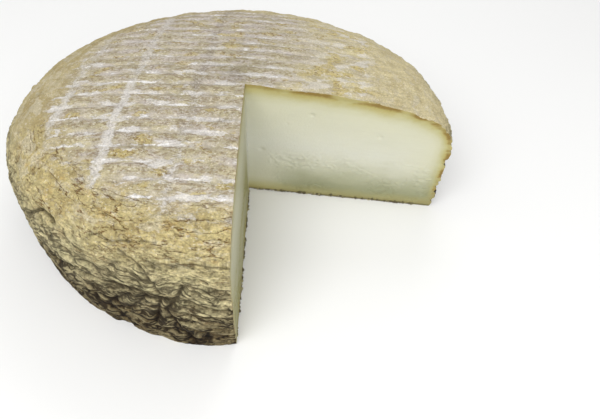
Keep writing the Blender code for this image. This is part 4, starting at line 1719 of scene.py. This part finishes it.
@dataclass(frozen=True)
class RindFinish:
    """The dry rind: mould along the rack's marks, ochre crags between them, and folded sides whose creases
    are darkened with painted shade and which darken toward the foot, partly with dirt and partly with
    painted shade.

    The fades over the top are in mm along X or Y, and those over the rind in mm down from its middle.
    """

    marks: MarksFinish
    radius: float
    ground: GroundFinish = GroundFinish()
    belt: BeltFinish = BeltFinish()
    flank: FlankFinish = FlankFinish()
    crack: Colour = shade(104, 72, 34)
    # Painted shade in the hollows of the side's creases.
    hollow_shade: Colour = shade(68, 52, 29)
    # Painted shadow at the bottom of the creases.
    groove: Colour = shade(30, 22, 13)
    rough: float = 0.9
    specular: float = 0.2
    dry_direction: float = math.radians(-105)
    dry_sway: Sway = Sway((22, 22, 22), 0.5, 3.0)
    dry_fade: Span = (0.60, 0.84)
    near_sway: Sway = Sway((30, 30, 30), 60, 3.0)
    near_fade: Span = (-45, 35)
    faint_sway: Sway = Sway((40, 30, 30), 70, 3.0)
    faint_fade: Span = (8, 45)
    right_sway: Sway = Sway((40, 30, 30), 40, 3.0)
    right_fade: Span = (-35, 40)
    low_sway: Sway = Sway((22, 22, 10), 30, 3.0)
    low_fade: Span = (6, 44)
    drift_sway: Sway = Sway((15, 15, 15), 26, 4.0, 0.6)
    rack_down: float = 79
    rack_shift: float = 6
    rack_half: float = 66
    outside_fade: Span = (-8, 6)
    kept_fade: Span = (-1, 7)
    side_fade: Span = (89, 109)
    heel_fade: Span = (145, 150)
    base_fade: Span = (146, 150)
    in_crack: Span = (0.25, 0.90)
    in_groove: Span = (0.22, 0.75)
    in_crease: Span = (0.30, 0.80)
    in_seam: Span = (0.42, 0.80)
    grain_size: Size = (0.7, 0.6, 0.65)
    mottle_size: Size = (7, 4, 5)
    grit_size: Size = (1.15, 1.15, 0.9)
    cell_size: Size = (2.6, 2.6, 1.7)
    scratch_size: Size = (2.2, 2.2, 0.9)

    def wrap(self, graph: Graph, place: Wire, down: Wire) -> tuple[Wire, Wire]:
        """The outward direction, and a place for noise that follows the skin."""
        flat = graph.node("ShaderNodeVectorMath", {"operation": "MULTIPLY"}, {0: place, 1: (1, 1, 0)})
        turn = graph.node("ShaderNodeVectorMath", {"operation": "NORMALIZE"}, {0: flat})
        inputs = {0: turn, "Scale": self.radius / MM}
        ring = graph.node("ShaderNodeVectorMath", {"operation": "SCALE"}, inputs)
        drop = graph.node("ShaderNodeCombineXYZ", {}, {"Z": down})
        return turn, graph.node("ShaderNodeVectorMath", {"operation": "ADD"}, {0: ring, 1: drop})

    def make(self) -> bpy.types.Material:
        """Makes the material."""
        graph = Graph("rind")
        place = graph.place()
        down = graph.attribute("down")
        turn, skin = self.wrap(graph, place, down)
        _, bent = self.wrap(graph, place, graph.attribute("flow"))
        hollow_shade, groove, crack, plate, crag = (
            graph.attribute(name) for name in ("hollow_shade", "groove", "crack", "plate", "crag")
        )
        x, y, height = graph.axes(place)
        turn_x, turn_y, _ = graph.axes(turn)
        toward = turn_x * math.cos(self.dry_direction) + turn_y * math.sin(self.dry_direction)
        dry = graph.rise(toward + graph.sway(place, self.dry_sway), *self.dry_fade)
        near = graph.rise(graph.sway(place, self.near_sway) - y, *self.near_fade)
        grain = graph.noise(place, self.grain_size, 3.0, 0.75)
        drift = graph.sway(place, self.drift_sway) + (grain - 0.5) * 8
        beyond = graph.math("MAXIMUM", down - self.rack_down, abs(x + self.rack_shift) - self.rack_half)
        on_base = graph.rise(down, *self.base_fade)
        outside = graph.rise(beyond + drift * 0.7, *self.outside_fade) * (1 - on_base)
        kept = 1 - graph.rise(beyond + drift * 0.35, *self.kept_fade) * (1 - on_base)
        faint = graph.rise(x + graph.sway(place, self.faint_sway), *self.faint_fade)
        marks = self.marks.make(graph, place, kept * (1 - 0.85 * faint) * (0.64 + 0.36 * near))
        ground = self.ground.colour(graph, place, marks, crag, grain, near, faint)
        right = graph.rise(x + graph.sway(place, self.right_sway), *self.right_fade)
        belt, cracks = self.belt.colour(graph, skin, dry, plate, grain, right)
        colour = graph.mix(graph.math("MAXIMUM", outside, faint * 0.25), ground, belt)
        colour, thick = self.marks.colour(graph, place, marks, colour, grain, kept)
        # Low is 1 near the foot, where the side is darkened partly with dirt and partly with painted shade.
        low = 1 - graph.rise(height + graph.sway(place, self.low_sway), *self.low_fade)
        on_side = graph.rise(down + drift * 0.8, *self.side_fade) * (1 - graph.rise(down, *self.heel_fade))
        colour = graph.mix(on_side, colour, self.flank.colour(graph, bent, low, grain))
        drawn = self.flank.creases(graph, bent) * on_side
        cracks = cracks * (0.35 + 0.65 * outside) * (1 - on_side * 0.6)
        colour = graph.mix(cracks * 0.95, colour, self.crack)
        colour = graph.mix(graph.rise(crack, *self.in_crack) * dry * 0.4, colour, self.crack)
        # Painted shade: the hollows of the creases and the drawn creases are darkened, more toward the foot.
        valley_shade = graph.math("MAXIMUM", hollow_shade, drawn * 0.8)
        colour = graph.mix(valley_shade * on_side * (0.50 + 0.46 * low), colour, self.hollow_shade)
        # Painted shadow, nearly black, along the bottom of the creases and of the drawn creases, more toward
        # the foot.
        drawn_crease_shadow = graph.rise(drawn, *self.in_crease) * 0.85
        deep = graph.math("MAXIMUM", graph.rise(groove, *self.in_groove), drawn_crease_shadow)
        colour = graph.mix(deep * (0.60 + 0.38 * low), colour, self.groove)
        mottle = graph.noise(place, self.mottle_size, 3.0, 0.6)
        grit = graph.noise(bent, self.grit_size, 2.0, 0.6) - 0.5
        rough = graph.math("MAXIMUM", on_side, outside * dry)
        seams = graph.rise(graph.cells(bent, self.cell_size), *self.in_seam) * (0.25 + 0.75 * rough)
        grit = grit * (0.20 + 0.18 * near + 0.60 * on_side + rough * (0.60 + 0.80 * right))
        coarse = grit - seams * (0.15 + 0.13 * on_side)
        # Painted shade: the grain, which also bumps the skin, darkens its pits and lightens its tops;
        # mottle, grit and the seams between cells vary the tone further.
        colour = graph.tint(colour, 0.27 + 1.15 * grain + 0.36 * mottle + coarse)
        scratches = graph.noise(bent, self.scratch_size, 4.0, 0.65)
        relief = grain * 0.40 + scratches * 0.40 - drawn * 0.6 - cracks * 0.25 - seams * 0.25
        relief = relief + thick * 0.12
        graph.set(Base_Color=colour, Roughness=self.rough, Normal=graph.bump(relief))
        graph.set(Specular_IOR_Level=self.specular)
        return graph.material


@dataclass(frozen=True)
class PasteFinish:
    """The cut cheese: ochre right under the rind, then olive, then pale cream. It is darker low down, partly
    of itself and partly with painted shade, and its left face carries painted shade.

    The fades are in mm of height, of depth under the rind, or along X or Y.
    """

    crust: Colour = shade(128, 104, 46)
    ochre: Colour = shade(162, 147, 74)
    olive: Colour = shade(177, 173, 124)
    cream: Colour = shade(194, 193, 169)
    core: Colour = shade(198, 198, 184)
    # The darker colour of the lower part: partly the paste's own, partly painted shade.
    low: Colour = shade(134, 136, 104)
    # Painted shade on the left cut face, with a warm cast.
    shaded: Colour = shade(141, 136, 80)
    foot: Colour = shade(104, 98, 62)
    reach: float = 30.0
    olive_until: float = 0.05
    cream_at: float = 0.30
    drift: Sway = Sway((9, 9, 5), 2.2, 3.0)
    ripple: Sway = Sway((1.3, 1.3, 1.0), 1.3, 3.0, 0.65)
    uneven: Sway = Sway((14, 14, 8), 9, 3.0)
    raised_fade: Span = (2, 9)
    left_fade: Span = (-18, -13)
    corner_fade: Span = (10, 32)
    sunk_fade: Span = (3, 28)
    shaded_fade: Span = (22, 46)
    away_fade: Span = (11, 19)
    stained: Patches = Patches((16, 16, 7), 0.42, 0.56, 3.0)
    stain_fade: Span = (1.2, 7.0)
    crust_fade: Span = (1.3, 2.9)
    foot_fade: Span = (0.4, 1.6)
    cloud_size: Size = (18, 18, 9)
    streak_size: Size = (20, 20, 0.6)
    pore_size: Size = (1.1, 1.1, 0.8)
    rough: float = 0.42
    specular: float = 0.35
    depth_weight: float = 0.12
    depth_colours: Size = (1.0, 0.75, 0.4)
    depth: float = 0.003

    def make(self) -> bpy.types.Material:
        """Makes the material."""
        graph = Graph("paste")
        place = graph.place()
        under = graph.attribute("under")
        drift = graph.sway(place, self.drift)
        ripple = graph.sway(place, self.ripple)
        stops = [(0.0, self.olive), (self.olive_until, self.olive)]
        stops += [(self.cream_at, self.cream), (1.0, self.core)]
        depth = (under + drift) / self.reach
        colour = graph.node("ShaderNodeValToRGB", {"stops": stops}, {"Fac": depth}, "Color")
        x, y, height = graph.axes(place)
        uneven = graph.sway(place, self.uneven) + ripple
        raised = graph.rise(height, *self.raised_fade)
        on_left = 1 - graph.rise(y, *self.left_fade)
        # The lower part is darker, partly of itself and partly with painted shade; near the corner of the
        # back face it is darkened less, painted light where the corner lies in shade.
        from_corner = graph.math("MAXIMUM", graph.rise(x + uneven * 0.6, *self.corner_fade), on_left)
        sunk = 1 - graph.rise(height + uneven, *self.sunk_fade)
        colour = graph.mix(sunk * (0.06 + 0.90 * from_corner), colour, self.low)
        # Painted shade: the left cut face is darkened and warmed, more toward its foot.
        shaded = 0.28 + 0.50 * (1 - graph.rise(height + uneven, *self.shaded_fade))
        colour = graph.mix(on_left * shaded, colour, self.shaded)
        away = 0.35 + 0.65 * graph.math("MAXIMUM", on_left, graph.rise(x, *self.away_fade))
        where = graph.patches(place, self.stained) * raised * away
        stain = 1 - graph.rise(under + drift * 0.9 + ripple * 1.2, *self.stain_fade)
        colour = graph.mix(stain * (0.35 + 0.50 * where), colour, self.ochre)
        crust = 1 - graph.rise(under + drift * 0.5 + ripple * 1.0, *self.crust_fade)
        colour = graph.mix(crust * (0.20 + 0.75 * where), colour, self.crust)
        colour = graph.mix(1 - graph.rise(height + ripple, *self.foot_fade), colour, self.foot)
        clouds = graph.noise(place, self.cloud_size, 3.0, 0.6)
        streaks = graph.noise(place, self.streak_size, 3.0, 0.6)
        colour = graph.tint(colour, 0.93 + 0.08 * clouds + 0.06 * streaks)
        pores = graph.noise(place, self.pore_size, 3.0, 0.6)
        relief = streaks * 0.10 + pores * 0.14
        graph.set(Base_Color=colour, Roughness=self.rough, Normal=graph.bump(relief))
        graph.set(Specular_IOR_Level=self.specular, Subsurface_Weight=self.depth_weight)
        graph.set(Subsurface_Radius=self.depth_colours, Subsurface_Scale=self.depth)
        return graph.material


@dataclass(frozen=True)
class CrumbFinish:
    """Crumbs of rind and of paste."""

    dark: Colour = shade(84, 76, 50)
    pale: Colour = shade(158, 152, 112)
    pale_share: Span = (0.55, 0.95)
    spot_size: Size = (0.5, 0.5, 0.5)
    rough: float = 0.7

    def make(self) -> bpy.types.Material:
        """Makes the material."""
        graph = Graph("crumb")
        place = graph.place()
        tone = graph.rise(graph.attribute("tone"), *self.pale_share)
        spots = graph.noise(place, self.spot_size)
        colour = graph.tint(graph.mix(tone, self.dark, self.pale), 0.75 + 0.5 * spots)
        graph.set(Base_Color=colour, Roughness=self.rough, Normal=graph.bump(spots * 0.15))
        return graph.material


@dataclass(frozen=True)
class Lamp:
    """A square soft light: its place and size in m, and its power in W."""

    name: str
    place: Size
    size: float
    power: float


@dataclass
class Studio:
    """The plain pale floor, the soft lights and the camera at the photograph's angle."""

    radius: float
    floor_size: float = 4.0
    elevation: float = 0.7984
    distance: float = 1.87697
    roll: float = 0.06828
    focal_pixels: float = 463.68
    target: Size = (0.31121, -0.52173, 0.30598)
    sensor: float = 36.0
    nearest: float = 0.001
    world_strength: float = 0.50
    floor_drop: float = 0.0001
    floor_grey: Colour = shade(244, 244, 243)
    floor_rough: float = 0.9
    aim: Size = (0, 0, 0.03)
    lamps: tuple[Lamp, ...] = (
        Lamp("key", (-0.32, -0.65, 0.79), 0.8, 6.7),
        Lamp("fill", (0.35, -0.75, 0.40), 0.7, 3.2),
        Lamp("rim", (0.1, 0.8, 0.7), 0.6, 2.6),
    )

    def camera(self) -> None:
        """Places the camera, with sizes in wheel radii."""
        e = self.elevation
        back = Vector((0, -math.cos(e), math.sin(e)))
        right = (-back).cross(Vector((0, 0, 1))).normalized()
        up = right.cross(-back)
        c, s = math.cos(self.roll), math.sin(self.roll)
        right, up = c * right + s * up, c * up - s * right
        eye = (back * self.distance + Vector(self.target)) * self.radius
        data = bpy.data.cameras.new("camera")
        data.sensor_width = self.sensor
        data.sensor_fit = "HORIZONTAL"
        data.lens = self.focal_pixels * self.sensor / IMAGE_WIDTH
        data.clip_start = self.nearest
        camera = bpy.data.objects.new("camera", data)
        turn = Matrix((right, up, back)).transposed().to_4x4()
        camera.matrix_world = Matrix.Translation(eye) @ turn
        bpy.context.scene.collection.objects.link(camera)
        bpy.context.scene.camera = camera

    def light(self, lamp: Lamp) -> None:
        """Adds a lamp that faces the wheel."""
        data = bpy.data.lights.new(lamp.name, "AREA")
        data.size = lamp.size
        data.energy = lamp.power
        made = bpy.data.objects.new(lamp.name, data)
        made.location = Vector(lamp.place)
        ahead = Vector(self.aim) - Vector(lamp.place)
        made.rotation_euler = ahead.to_track_quat("-Z", "Y").to_euler()
        bpy.context.scene.collection.objects.link(made)

    def floor(self) -> None:
        """Lays the floor."""
        half = self.floor_size / 2
        mesh = bpy.data.meshes.new("floor")
        ends = [(-half, -half), (half, -half), (half, half), (-half, half)]
        mesh.from_pydata([(x, y, -self.floor_drop) for x, y in ends], [], [(0, 1, 2, 3)])
        graph = Graph("floor")
        graph.set(Base_Color=self.floor_grey, Roughness=self.floor_rough)
        mesh.materials.append(graph.material)
        floor = bpy.data.objects.new("floor", mesh)
        bpy.context.scene.collection.objects.link(floor)

    def build(self) -> None:
        """Sets up the whole studio."""
        self.camera()
        self.floor()
        for lamp in self.lamps:
            self.light(lamp)
        world = bpy.data.worlds.new("studio")
        world.use_nodes = True
        back = world.node_tree.nodes["Background"]
        back.inputs["Color"].default_value = (1, 1, 1, 1)
        back.inputs["Strength"].default_value = self.world_strength
        bpy.context.scene.world = world
        bpy.context.scene.view_settings.view_transform = "Standard"


def corners(bounds: tuple[Vector, Vector]) -> list[list[float]]:
    """Two corners of a box as plain lists."""
    return [[float(value) for value in corner] for corner in bounds]


def main() -> None:
    """Loads the frame and dresses the wheel."""
    logging.basicConfig(level=logging.INFO, format="%(message)s")
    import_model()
    profile, cut, rack = Profile(), Cut(), Rack()
    Studio(profile.radius).build()
    LOG.info("studio ready")
    rind_finish = RindFinish(MarksFinish(rack), profile.radius).make()
    paste_finish = PasteFinish().make()
    rind = Rind(SkinGrid(profile, cut, Skin(profile, rack)))
    rind.build(rind_finish, paste_finish)
    Paste(rind, cut).build(paste_finish)
    Crumbs(cut).build(CrumbFinish().make())
    bpy.context.view_layer.update()


if __name__ == "__main__":
    main()
